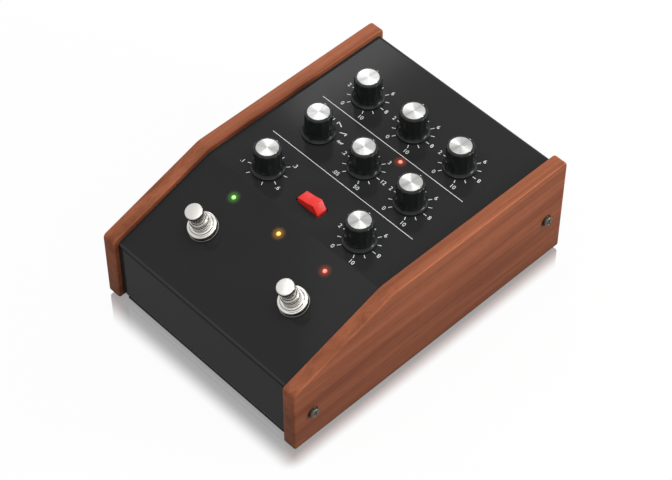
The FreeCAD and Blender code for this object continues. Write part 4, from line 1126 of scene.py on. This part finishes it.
def knob_surface(count, depth):
    """Fluted knob: each radius is the profile's, less the flutes' depth times how hollow it is there."""
    inside = np.array([
        (PINHOLE, SHAFT_TOP), (SHAFT_BORE, SHAFT_TOP), (SHAFT_BORE, KNOB_HOLLOW_HEIGHT),
        (KNOB_HOLLOW_RADIUS, KNOB_HOLLOW_HEIGHT), (KNOB_HOLLOW_RADIUS, KNOB_LIFT),
        (SKIRT_RADIUS - SKIRT_BEVEL, KNOB_LIFT), (SKIRT_RADIUS, KNOB_LIFT + SKIRT_BEVEL),
    ])
    skirt = skirt_profile()
    grip = grip_profile()
    seat = np.array([(CAP_RADIUS, CAP_BOTTOM), (PINHOLE, CAP_BOTTOM)])
    profile = np.concatenate([inside, skirt, grip, seat])
    share = np.zeros(len(profile))
    first = len(inside) + len(skirt)
    share[first:first + len(grip) - 1] = flute_share(grip[:-1])
    angles = flute_angles(count)
    rings = turned(profile, angles)
    hollow = depth * share[:, None] * flute_shape(angles, count)
    scale = 1 - hollow / profile[:, :1]
    rings[..., :2] *= scale[..., None]
    return tube_of_rings(rings)


def pointer_surface(depth):
    """White line inlaid along the middle of the rear flute, from the rim's top to the skirt's edge.

    It follows the knob's profile, less the flute's depth on the grip, and stands a hair proud of it.
    """
    grip = grip_profile()[-2::-1]
    grip[:, 0] -= depth * flute_share(grip)
    skirt = skirt_profile()[::-1]
    line = np.concatenate([grip[:1] - (POINTER_ON_TOP, 0), grip, skirt])
    steps = np.gradient(line, axis=0)
    normals = np.stack([-steps[:, 1], steps[:, 0]], axis=-1)
    normals /= np.linalg.norm(normals, axis=1, keepdims=True)
    outer = line + normals * POINTER_PROUD
    inner = line - normals * POINTER_SUNK
    half = POINTER_WIDTH / 2
    sections = [
        np.stack([np.full(len(side), x), side[:, 0], side[:, 1]], axis=-1)
        for side, x in ((outer, -half), (outer, half), (inner, half), (inner, -half))
    ]
    return tube_of_rings(np.stack(sections, axis=1))


def cap_surface():
    """Spun cap: a disc with a rounded edge, whose top falls by CAP_CROWN times (r / R) squared."""
    edge = rounded([
        (CAP_RADIUS - CAP_PLAY, CAP_BOTTOM, 0), (CAP_RADIUS - CAP_PLAY, CAP_TOP - CAP_CROWN, 0.22 * MM),
        (CAP_RADIUS / 2, CAP_TOP - CAP_CROWN / 2, 0),
    ], steps=4)
    radii = np.linspace(CAP_RADIUS - 0.5 * MM, 0.04 * MM, 14)
    top = np.stack([radii, CAP_TOP - CAP_CROWN * (radii / CAP_RADIUS) ** 2], axis=-1)
    return turned_solid(np.concatenate([edge[:-1], top]), around=120)


class PEDAL_OT_dials(Operator):
    """Make the eight knobs with their caps and pointers, and finish the controls under them"""

    bl_idname = "pedal.dials"
    bl_label = "Dials"

    def execute(self, context):
        sizes = context.scene.pedal_sizes
        colours = context.scene.pedal_colours
        gloss = moulded_plastic("black_moulded_knob", colours.knob, 0.24, shine=0.22)
        spun = spun_aluminium("spun_aluminium_cap", colours.cap)
        inlay = screen_ink("white_pointer_paint", colours.ink)
        knob = knob_surface(sizes.flute_count, sizes.flute_depth)
        pointer = pointer_surface(sizes.flute_depth)
        cap = cap_surface()
        for name in DIALS:
            place = dial_place(name)
            body = name + "_dial"
            make_piece(
                name + "_fluted_knob", body, [gloss, inlay],
                [moved(knob, place), moved(pointer, place)], [name + "_knob"],
            )
            make_piece(
                name + "_spun_cap", body, [spun], [moved(cap, place)], [name + "_cap"],
            )
        turned_aluminium = plated_metal("turned_aluminium_shafts", linear("#b4b5b6"), 0.35)
        finish_nodes(turned_aluminium, *[name + "_shaft" for name in DIALS])
        finish_nodes(plated_metal("zinc_plated_steel", ZINC, 0.35), "control_nuts")
        housing = moulded_plastic("control_housing_plastic", HOUSING, 0.5, grain=0.02 * MM)
        finish_nodes(housing, "potentiometers", "selector_switch")
        return {"FINISHED"}


def rocker_outline():
    """Rocker seen from the front, anticlockwise with X to the right and the pivot at zero."""
    shoulder = ROCKER_SHOULDER_HALF
    top = ROCKER_TOP_HEIGHT
    return rounded([
        (-shoulder, -ROCKER_BELOW_PIVOT, 0.4 * MM), (shoulder, -ROCKER_BELOW_PIVOT, 0.4 * MM),
        (shoulder, ROCKER_SHOULDER_HEIGHT, 0.6 * MM), (ROCKER_TOP_HALF, top, 0.7 * MM),
        (0, top - ROCKER_DISH, ROCKER_DISH_RADIUS), (-ROCKER_TOP_HALF, top, 0.7 * MM),
        (-shoulder, ROCKER_SHOULDER_HEIGHT, 0.6 * MM),
    ])


class PEDAL_OT_rocker(Operator):
    """Make the red rocker and finish its switch"""

    bl_idname = "pedal.rocker"
    bl_label = "Rocker"

    def execute(self, context):
        half = ROCKER_WIDTH / 2
        paddle = slab(rocker_outline(), -half, half, ROCKER_EDGE, 4)
        paddle = swapped(paddle, (0, 2, 1)) * (1, -1, 1)
        ends = np.array([(ROCKER_PIN_RADIUS, side * ROCKER_PIN_SPAN / 2) for side in (-1, 1)])
        place = on_deck(0, ROCKER_FROM_FRONT) @ Matrix.Translation((0, 0, -ROCKER_PIVOT_DEPTH))
        place = place @ Matrix.Rotation(-ROCKER_TILT, 4, "Y")
        across = place @ Matrix.Rotation(math.pi / 2, 4, "X")
        red = moulded_plastic("red_moulded_rocker", context.scene.pedal_colours.rocker, 0.3, shine=0.25)
        parts = [moved(tube_of_rings(paddle), place), moved(turned_solid(ends, around=32), across)]
        make_piece("red_rocker", "rocker", [red], parts, ["rocker_paddle"])
        housing = moulded_plastic("switch_housing_plastic", HOUSING, 0.5, grain=0.02 * MM)
        finish_nodes(housing, "rocker_switch", "footswitch_bodies")
        return {"FINISHED"}


def threaded_rings(root, crest, low, high, pitch, around):
    """Rings of a screw thread between two heights.

    The radius is the root plus the thread's depth times a triangle wave of z / pitch - t / TURN,
    with t the angle. Eight rings make one pitch.
    """
    angles = even_angles(around)
    heights = np.arange(low, high, pitch / 8)[:, None]
    phase = (heights / pitch - angles / TURN) % 1.0
    radius = root + (crest - root) * (1 - np.abs(2 * phase - 1))
    return rings_at(radius, heights, angles)


def switch_bushing(pitch):
    """Threaded bushing with a bevelled mouth and a smooth bore."""
    around = 96
    thread = threaded_rings(
        BUSHING_RADIUS - BUSHING_THREAD_DEPTH, BUSHING_RADIUS, BUSHING_BOTTOM, BUSHING_TOP - 0.7 * MM,
        pitch, around,
    )
    mouth = rounded([
        (BUSHING_RADIUS - 0.3 * MM, BUSHING_TOP - 0.65 * MM, 0),
        (BUSHING_RADIUS - 0.6 * MM, BUSHING_TOP, 0.2 * MM),
        (BUSHING_BORE + 0.25 * MM, BUSHING_TOP, 0.15 * MM), (BUSHING_BORE, BUSHING_TOP - 0.3 * MM, 0),
        (BUSHING_BORE, BUSHING_BOTTOM, 0),
    ])
    return loop_of_rings(np.concatenate([thread, turned(mouth, even_angles(around))]))


def dress_nut():
    """Round nut: a narrow foot, a broad rim above it and a raised shoulder, all softly rounded."""
    profile = rounded([
        (BUSHING_RADIUS, WASHER_HEIGHT, 0), (NUT_FOOT_RADIUS, WASHER_HEIGHT, 0),
        (NUT_FOOT_RADIUS, NUT_RIM_BOTTOM, 0.2 * MM), (NUT_RIM_RADIUS, NUT_RIM_BOTTOM, 0.4 * MM),
        (NUT_RIM_RADIUS, NUT_RIM_TOP, 0.75 * MM), (NUT_SHOULDER_RADIUS + 0.3 * MM, NUT_RIM_TOP, 0.5 * MM),
        (NUT_SHOULDER_RADIUS, NUT_TOP, 0.8 * MM), (BUSHING_RADIUS, NUT_TOP, 0),
    ], steps=8)
    return turned_ring(profile, around=144)


def dress_washer():
    """Thin flat washer with rounded rims."""
    profile = rounded([
        (BUSHING_RADIUS, 0, 0), (WASHER_RADIUS, 0, 0), (WASHER_RADIUS, WASHER_TOP, 0.25 * MM),
        (BUSHING_RADIUS, WASHER_TOP, 0),
    ], steps=4)
    return turned_ring(profile, around=144)


def push_button():
    """Plunger: a slim neck and a thick round button with a flat top and a rounded rim."""
    profile = rounded([
        (PINHOLE, PLUNGER_BOTTOM, 0), (NECK_RADIUS, PLUNGER_BOTTOM, 0.3 * MM),
        (NECK_RADIUS, BUTTON_BOTTOM, 0.25 * MM), (BUTTON_RADIUS, BUTTON_BOTTOM, 0.5 * MM),
        (BUTTON_RADIUS, BUTTON_TOP, 0.8 * MM), (PINHOLE, BUTTON_TOP, 0),
    ], steps=8)
    return turned_solid(profile, around=120)


class PEDAL_OT_footswitches(Operator):
    """Make the footswitch buttons, bushings, nuts and washers"""

    bl_idname = "pedal.footswitches"
    bl_label = "Footswitches"

    def execute(self, context):
        sizes = context.scene.pedal_sizes
        plating = context.scene.pedal_colours.nickel
        nickel = plated_metal("satin_nickel_plate", plating, 0.24, mottle=12.0 * MM)
        places = {
            "tempo": on_slope(-FOOTSWITCH_X, FOOTSWITCH_BELOW_KINK),
            "bypass": on_slope(FOOTSWITCH_X, FOOTSWITCH_BELOW_KINK),
        }
        groups = {
            "threaded_bushings": (switch_bushing(sizes.switch_thread), "footswitch_bushings"),
            "shouldered_nuts": (dress_nut(), "dress_nuts"),
            "thin_washers": (dress_washer(), "dress_washers"),
        }
        # Painted shade: the washers under the nuts take a darker copy of the nickel, as they lie in the nuts'
        # shadow.
        dull = plated_metal("dull_nickel_plate", linear("#7c7b78"), 0.22, mottle=12.0 * MM)
        for name, (surface, node) in groups.items():
            finish = dull if node == "dress_washers" else nickel
            make_piece(name, "case", [finish], copies(surface, places.values()), [node])
        for name, place in places.items():
            make_piece(
                name + "_push_button", name + "_button", [nickel],
                [moved(push_button(), place)], [name + "_plunger"],
            )
        return {"FINISHED"}


def lens_surface():
    """Lamp lens: a flange at its foot, a straight wall and a half ball of the same radius on top."""
    wall = np.array([
        (PINHOLE, LENS_BOTTOM), (LENS_FLANGE_RADIUS, LENS_BOTTOM), (LENS_FLANGE_RADIUS, LENS_FLANGE_TOP),
        (LENS_RADIUS, LENS_FLANGE_TOP),
    ])
    t = np.linspace(0, math.pi / 2 - 0.03, 14)
    base = LENS_TOP - LENS_RADIUS
    dome = np.stack([LENS_RADIUS * np.cos(t), base + LENS_RADIUS * np.sin(t)], axis=-1)
    return turned_solid(np.concatenate([wall, dome]), around=48)


def lamp_legs(length):
    """Two square legs under a lens."""
    xs = np.array([-LEG_PITCH / 2, LEG_PITCH / 2])
    starts = np.stack([xs - LEG_SIDE / 2, np.zeros(2)], axis=-1)
    ends = np.stack([xs + LEG_SIDE / 2, np.zeros(2)], axis=-1)
    return bars(starts, ends, LEG_SIDE, -length, LENS_BOTTOM)


class PEDAL_OT_lamps(Operator):
    """Make the four lamps"""

    bl_idname = "pedal.lamps"
    bl_label = "Lamps"

    def execute(self, context):
        colours = context.scene.pedal_colours
        tinned = plated_metal("tinned_legs", linear("#c8c8c8"), 0.3)
        green = lit_lens("green_lens", colours.green_lamp, linear("#c3f09a"))
        amber = lit_lens("amber_lens", colours.amber_lamp, linear("#ffe292"))
        red = lit_lens("red_lens", colours.red_lamp, linear("#f9a88a"))
        lamps = {
            "time": (green, "lamp_green", SLOPE_LEG_LENGTH),
            "level": (amber, "lamp_amber", SLOPE_LEG_LENGTH),
            "bypass": (red, "lamp_red", SLOPE_LEG_LENGTH),
            "rate": (red, "lamp_red", DECK_LEG_LENGTH),
        }
        for name, (lens, slot, leg_length) in lamps.items():
            place = lamp_places()[name]
            parts = [moved(surface, place) for surface in (lens_surface(), lamp_legs(leg_length))]
            make_piece(name + "_lamp", "case", [lens, tinned], parts, [name + "_led"])
        return {"FINISHED"}


def around_dial(distance, degrees):
    """Points at clockwise angles from the rear, this far from a dial's shaft."""
    angle = np.radians(degrees)
    return np.stack([distance * np.sin(angle), distance * np.cos(angle)], axis=-1)


# Degrees between a dial's ticks, and its numerals at their angles
SCALES = {
    "rate": (30, {-150: ".05", -90: ".2", -30: ".8", 30: "3", 90: "12", 150: "50"}),
    "time": (37.5, {-112.5: ".1", -37.5: ".2", 37.5: ".3", 112.5: ".6"}),
}
PLAIN_SCALE = (30, {-150 + 60 * step: str(2 * step) for step in range(6)})

# Waveforms of the selector at their angles, each drawn in a box 4 mm wide and 2 mm high
WAVEFORMS = {
    -75: [(-2, 0), (-1.4, 0.8), (-0.7, 0.8), (0.7, -0.8), (1.4, -0.8), (2, 0)],
    -45: [(-2, -1), (0, 1), (2, -1)],
    -15: [(-2, -1), (-2, 1), (0, 1), (0, -1), (2, -1), (2, 1)],
    15: [(-2, -1), (-2, 1), (2, -1)],
    45: [(-2, -1), (2, 1), (2, -1)],
    75: [(-2, -0.4), (-1.2, 1), (-0.4, -1), (0.5, 0.6), (1.1, -0.7), (2, 0.8)],
}


def waveform_bars():
    """Strokes of the six waveforms round the selector, each longer at both ends so that corners close."""
    starts = []
    ends = []
    for degrees, line in WAVEFORMS.items():
        corners = around_dial(GLYPH_DISTANCE, degrees) + np.array(line) * MM
        starts.append(corners[:-1])
        ends.append(corners[1:])
    starts = np.concatenate(starts)
    ends = np.concatenate(ends)
    overlap = (ends - starts) / np.linalg.norm(ends - starts, axis=1, keepdims=True) * GLYPH_STROKE / 3
    return bars(starts - overlap, ends + overlap, GLYPH_STROKE, INK_LOW, INK_HIGH)


class PEDAL_OT_scales(Operator):
    """Print the ticks, numerals, waveforms and dividing lines"""

    bl_idname = "pedal.scales"
    bl_label = "Printed scales"

    def execute(self, context):
        sizes = context.scene.pedal_sizes
        ink = screen_ink("white_screen_ink", context.scene.pedal_colours.ink)
        ticks = []
        numerals = []
        for name in DIALS:
            x, y = JOINTS[name + "_turn"]["pos_m"][:2]
            place = on_deck(x, y - FRONT_Y)
            if name == SELECTOR:
                ticks.append(moved(waveform_bars(), place))
                continue
            step, marks = SCALES.get(name, PLAIN_SCALE)
            angles = np.arange(-SCALE_END, SCALE_END + 1, step)
            ring = bars(
                around_dial(sizes.tick_start, angles), around_dial(sizes.tick_end, angles),
                sizes.tick_width, INK_LOW, INK_HIGH,
            )
            ticks.append(moved(ring, place))
            for degrees, text in marks.items():
                spot = around_dial(sizes.numeral_distance + (len(text) - 1) * DIGIT_SHIFT, degrees)
                figure = digits(text, sizes.numeral_height, sizes.numeral_slant)
                numerals.append(moved(figure, place @ Matrix.Translation((*spot, 0))))
        lines = [
            moved(bars([(-half, 0)], [(half, 0)], DIVIDER_WIDTH, INK_LOW, INK_HIGH), on_deck(0, row))
            for row, half in DIVIDERS
        ]
        make_piece("dial_ticks", "case", [ink], ticks)
        make_piece("dial_numerals", "case", [ink], numerals)
        make_piece("dividing_lines", "case", [ink], lines)
        return {"FINISHED"}


def jack_sleeve(pitch):
    """Plated threaded sleeve round a jack's mouth, with a rounded lip and a short liner in the bore."""
    around = 72
    foot = JACK_SLEEVE_FOOT
    lip_foot = JACK_MOUTH - JACK_LIP_HEIGHT
    liner_outside = JACK_BORE + JACK_LINER_WALL
    thread = threaded_rings(JACK_RADIUS - JACK_THREAD_DEPTH, JACK_RADIUS, foot, lip_foot, pitch, around)
    lip = rounded([
        (JACK_RADIUS - 0.1 * MM, lip_foot, 0), (JACK_RADIUS - 0.4 * MM, JACK_MOUTH, 0.15 * MM),
        (JACK_BORE + 0.35 * MM, JACK_MOUTH, 0.2 * MM), (JACK_BORE, lip_foot, 0.2 * MM),
        (JACK_BORE, -JACK_LINER_DEPTH, 0), (liner_outside, -JACK_LINER_DEPTH, 0), (liner_outside, foot, 0),
    ], steps=4)
    return loop_of_rings(np.concatenate([thread, turned(lip, even_angles(around))]))


def hexagon_nut(across_flats, bore, height):
    """Hexagon nut with bevelled corners.

    Its radius is the hexagon's, half the flats over cos t with t the angle from a flat's middle,
    or that of the bevel's cone where the cone is inside it.
    """
    angles = even_angles(96)
    from_flat = (angles + TURN / 12) % (TURN / 6) - TURN / 12
    hexagon = across_flats / 2 / np.cos(from_flat)
    corner = across_flats / math.sqrt(3)
    bevel = JACK_NUT_BEVEL
    heights = np.concatenate([np.linspace(0, bevel, 4), np.linspace(height - bevel, height, 4)])[:, None]
    near_end = np.minimum(heights, height - heights)
    cone = corner - np.clip(bevel - near_end, 0, None) * JACK_NUT_BEVEL_SLOPE
    outer = rings_at(np.minimum(hexagon, cone), heights, angles)
    inner = turned(np.array([(bore, height), (bore, 0)]), angles)
    return loop_of_rings(np.concatenate([outer, inner]))


class PEDAL_OT_rear_sockets(Operator):
    """Make the jack sleeves and nuts and the power inlet's pin, and finish the socket bodies"""

    bl_idname = "pedal.rear_sockets"
    bl_label = "Rear sockets"

    def execute(self, context):
        nickel = plated_metal("bright_nickel_plate", context.scene.pedal_colours.nickel, 0.25)
        low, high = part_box("jack_nuts")
        corner = JACK_NUT_ACROSS_FLATS / math.sqrt(3)
        xs = np.linspace(low.x + corner, high.x - corner, JACK_COUNT)
        z = (low.z + high.z) / 2
        places = [on_rear(x, z) for x in xs]
        sleeves = copies(jack_sleeve(context.scene.pedal_sizes.jack_thread), places)
        nuts = copies(hexagon_nut(JACK_NUT_ACROSS_FLATS, JACK_RADIUS - 0.1 * MM, JACK_NUT_HEIGHT), places)
        make_piece("jack_sleeves", "case", [nickel], sleeves)
        make_piece("bevelled_jack_nuts", "case", [nickel], nuts, ["jack_nuts"])
        inlet_low, inlet_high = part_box("power_inlet")
        inlet_place = on_rear((inlet_low.x + inlet_high.x) / 2, (inlet_low.z + inlet_high.z) / 2)
        pin = turned_solid(rounded([
            (INLET_PIN_RADIUS, INLET_PIN_LOW, 0), (INLET_PIN_RADIUS, INLET_PIN_TOP, 0.4 * MM),
            (PINHOLE, INLET_PIN_TOP, 0),
        ]), around=40)
        make_piece("inlet_pin", "case", [nickel], [moved(pin, inlet_place)])
        housing = moulded_plastic("socket_housing_plastic", linear("#1d1e20"), 0.45, grain=0.02 * MM)
        finish_nodes(housing, "jack_bodies", "power_inlet")
        return {"FINISHED"}


class PEDAL_OT_electronics(Operator):
    """Finish the boards, chips, capacitors and flat cables inside the case"""

    bl_idname = "pedal.electronics"
    bl_label = "Electronics"

    def execute(self, context):
        finish_nodes(solder_mask("green_solder_mask"), "control_board", "front_board", "jack_board")
        epoxy = moulded_plastic("moulded_epoxy_chip", linear("#1b1c1e"), 0.6, grain=0.01 * MM)
        finish_nodes(epoxy, "delay_chips")
        finish_nodes(moulded_plastic("capacitor_sleeve_pvc", linear("#26304e"), 0.3), "capacitors")
        finish_nodes(ribbon_pvc("grey_ribbon_pvc"), "rear_ribbon", "front_ribbon")
        return {"FINISHED"}


# Stage

CAMERA_PLACE = (643.12 * MM, -617.47 * MM, 1089.41 * MM)
CAMERA_AZIMUTH = math.radians(46.15)
CAMERA_ELEVATION = math.radians(49.96)
CAMERA_LENS = 119.16
FLOOR_HALF = 4.0
# Brightness of the floor as a light on the object and as seen in metal
FLOOR_BOUNCE = 0.3
FLOOR_IN_METAL = 0.4
# Share of the floor's look that no shadow darkens, and the roughness of its reflection
FLOOR_WHITE_SHARE = 0.93
FLOOR_POLISH = 0.04
# Brightness of the world as a light
WORLD_AS_LIGHT = 0.42
# The object's reflection in the floor: its reach from the footprint, and its strength at the start
REFLECTION_START = 1.0 * MM
REFLECTION_REACH = 15.0 * MM
REFLECTION_SHARE = 0.66
REFLECTION_SIDEWAYS = 1.35
MIDDLE = (0, 0, 0.05)
# Place of each soft light, the point that it faces, its two sides in metres and its power in watts
SOFTBOXES = {
    "overhead_softbox": ((0.1, -0.1, 1.4), MIDDLE, (1.3, 1.3), 9.0),
    "rear_left_softbox": ((-1.05, 0.925, 1.12), (0, 0.925, 0.32), (0.25, 0.5), 3.0),
    "left_softbox": ((-1.25, -0.35, 0.75), MIDDLE, (0.4, 0.8), 0.4),
    "right_softbox": ((1.05, 0.85, 0.38), MIDDLE, (0.4, 0.4), 8.0),
    "rear_softbox": ((0.3, 1.5, 0.75), MIDDLE, (0.8, 0.3), 2.5),
}


def looking(place, direction):
    """Placing of a light or a camera that looks along a direction."""
    return Matrix.Translation(place) @ direction.to_track_quat("-Z", "Y").to_matrix().to_4x4()


def add_softbox(name, place, target, size, power):
    """Rectangular soft light that faces a point."""
    light = bpy.data.lights.new(name, "AREA")
    light.shape = "RECTANGLE"
    light.size, light.size_y = size
    light.energy = power
    lamp = bpy.data.objects.new(name, light)
    lamp.matrix_world = looking(place, Vector(target) - Vector(place))
    bpy.context.scene.collection.objects.link(lamp)


def beside_footprint(tree):
    """Distance of a point of the floor from the object's footprint: the length of (x, y) past its sides.

    X counts REFLECTION_SIDEWAYS times, so that the reflection fades sooner beside the cheeks.
    """
    place = add_node(tree, "TexCoord")
    unsigned = add_node(tree, "VectorMath", {"operation": "ABSOLUTE"}, {0: place.outputs["Object"]})
    corner = (CHEEK_HIGH.x, CHEEK_HIGH.y, 0)
    past = add_node(tree, "VectorMath", {"operation": "SUBTRACT", 1: corner}, {0: unsigned})
    outside = add_node(tree, "VectorMath", {"operation": "MAXIMUM", 1: (0, 0, 0)}, {0: past})
    scaled = add_node(
        tree, "VectorMath", {"operation": "MULTIPLY", 1: (REFLECTION_SIDEWAYS, 1, 0)}, {0: outside},
    )
    return add_node(tree, "VectorMath", {"operation": "LENGTH"}, {0: scaled})


def white_floor(name, colour):
    """Glossy white sheet: white to the camera and in reflections, with the object's shadow.

    It mirrors the object close to its footprint, and the mirror image is gone REFLECTION_REACH away.
    """
    material = bpy.data.materials.new(name)
    material.use_nodes = True
    tree = material.node_tree
    tree.nodes.clear()
    paper = add_node(tree, "BsdfDiffuse", {"Color": colour})
    dimmed = [FLOOR_BOUNCE * channel for channel in colour[:3]] + [1.0]
    bounce = add_node(tree, "BsdfDiffuse", {"Color": dimmed})
    glow = add_node(tree, "Emission", {"Color": colour})
    mirror = add_node(tree, "BsdfGlossy", {"Color": colour, "Roughness": FLOOR_POLISH})
    fade = add_node(
        tree, "MapRange",
        {"interpolation_type": "SMOOTHSTEP", "From Min": REFLECTION_START, "From Max": REFLECTION_REACH,
         "To Min": REFLECTION_SHARE, "To Max": 0.0},
        {"Value": beside_footprint(tree)},
    )
    sheet = add_node(tree, "MixShader", None, {"Fac": fade, 1: glow, 2: mirror})
    seen = add_node(tree, "MixShader", {"Fac": FLOOR_WHITE_SHARE}, {1: paper, 2: sheet})
    path = add_node(tree, "LightPath")
    mirrored = add_node(
        tree, "Math", {"operation": "MULTIPLY", 1: FLOOR_IN_METAL}, {0: path.outputs["Is Glossy Ray"]},
    )
    either = add_node(tree, "Math", {"operation": "MAXIMUM"}, {0: path.outputs["Is Camera Ray"], 1: mirrored})
    final = add_node(tree, "MixShader", None, {"Fac": either, 1: bounce, 2: seen})
    add_node(tree, "OutputMaterial", None, {"Surface": final})
    return material


def pale_world(colour):
    """Even light from all round: white to the camera and in reflections, softer as a light."""
    world = bpy.data.worlds.new("pale_world")
    world.use_nodes = True
    tree = world.node_tree
    tree.nodes.clear()
    path = add_node(tree, "LightPath")
    strength = add_node(
        tree, "MapRange", {"To Min": 1.0, "To Max": WORLD_AS_LIGHT},
        {"Value": path.outputs["Is Diffuse Ray"]},
    )
    sky = add_node(tree, "Background", {"Color": colour}, {"Strength": strength})
    add_node(tree, "OutputWorld", None, {"Surface": sky})
    bpy.context.scene.world = world


class PEDAL_OT_stage(Operator):
    """Set up the floor, the soft lights, the world and the camera"""

    bl_idname = "pedal.stage"
    bl_label = "Stage"

    def execute(self, context):
        scene = context.scene
        colour = scene.pedal_colours.backdrop
        mesh = bpy.data.meshes.new("floor")
        half = FLOOR_HALF
        corners = [(-half, -half, 0), (half, -half, 0), (half, half, 0), (-half, half, 0)]
        mesh.from_pydata(corners, [], [(0, 1, 2, 3)])
        mesh.materials.append(white_floor("white_paper", colour))
        floor = bpy.data.objects.new("floor", mesh)
        scene.collection.objects.link(floor)
        pale_world(colour)
        for name, settings in SOFTBOXES.items():
            add_softbox(name, *settings)
        camera = bpy.data.objects.new("camera", bpy.data.cameras.new("camera"))
        camera.data.lens = CAMERA_LENS
        flat = math.cos(CAMERA_ELEVATION)
        across = (-math.sin(CAMERA_AZIMUTH) * flat, math.cos(CAMERA_AZIMUTH) * flat)
        camera.matrix_world = looking(CAMERA_PLACE, Vector((*across, -math.sin(CAMERA_ELEVATION))))
        scene.collection.objects.link(camera)
        scene.camera = camera
        scene.view_settings.view_transform = "Standard"
        return {"FINISHED"}


OPERATORS = (
    PEDAL_OT_case,
    PEDAL_OT_cheeks,
    PEDAL_OT_cheek_screws,
    PEDAL_OT_underside,
    PEDAL_OT_dials,
    PEDAL_OT_rocker,
    PEDAL_OT_footswitches,
    PEDAL_OT_lamps,
    PEDAL_OT_scales,
    PEDAL_OT_rear_sockets,
    PEDAL_OT_electronics,
    PEDAL_OT_stage,
)


class PEDAL_PT_sidebar(Panel):
    """Sizes, colours and makers of the pedal's pieces"""

    bl_label = "Pedal"
    bl_idname = "PEDAL_PT_sidebar"
    bl_space_type = "VIEW_3D"
    bl_region_type = "UI"
    bl_category = "Pedal"

    def draw(self, context):
        column = self.layout.column()
        for group in (context.scene.pedal_sizes, context.scene.pedal_colours):
            for name in group.__annotations__:
                column.prop(group, name)
        for operator in OPERATORS:
            column.operator(operator.bl_idname)


CLASSES = (PedalSizes, PedalColours, *OPERATORS, PEDAL_PT_sidebar)


def register():
    """Add the classes, and the pedal's properties to the scene."""
    for cls in CLASSES:
        bpy.utils.register_class(cls)
    bpy.types.Scene.pedal_sizes = PointerProperty(type=PedalSizes)
    bpy.types.Scene.pedal_colours = PointerProperty(type=PedalColours)


def unregister():
    """Take the properties and the classes away again."""
    del bpy.types.Scene.pedal_colours
    del bpy.types.Scene.pedal_sizes
    for cls in reversed(CLASSES):
        bpy.utils.unregister_class(cls)


def main():
    """Register the add-on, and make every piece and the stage."""
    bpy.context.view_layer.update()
    register()
    for operator in OPERATORS:
        getattr(bpy.ops.pedal, operator.bl_idname.split(".")[1])()


if __name__ == "__main__":
    main()
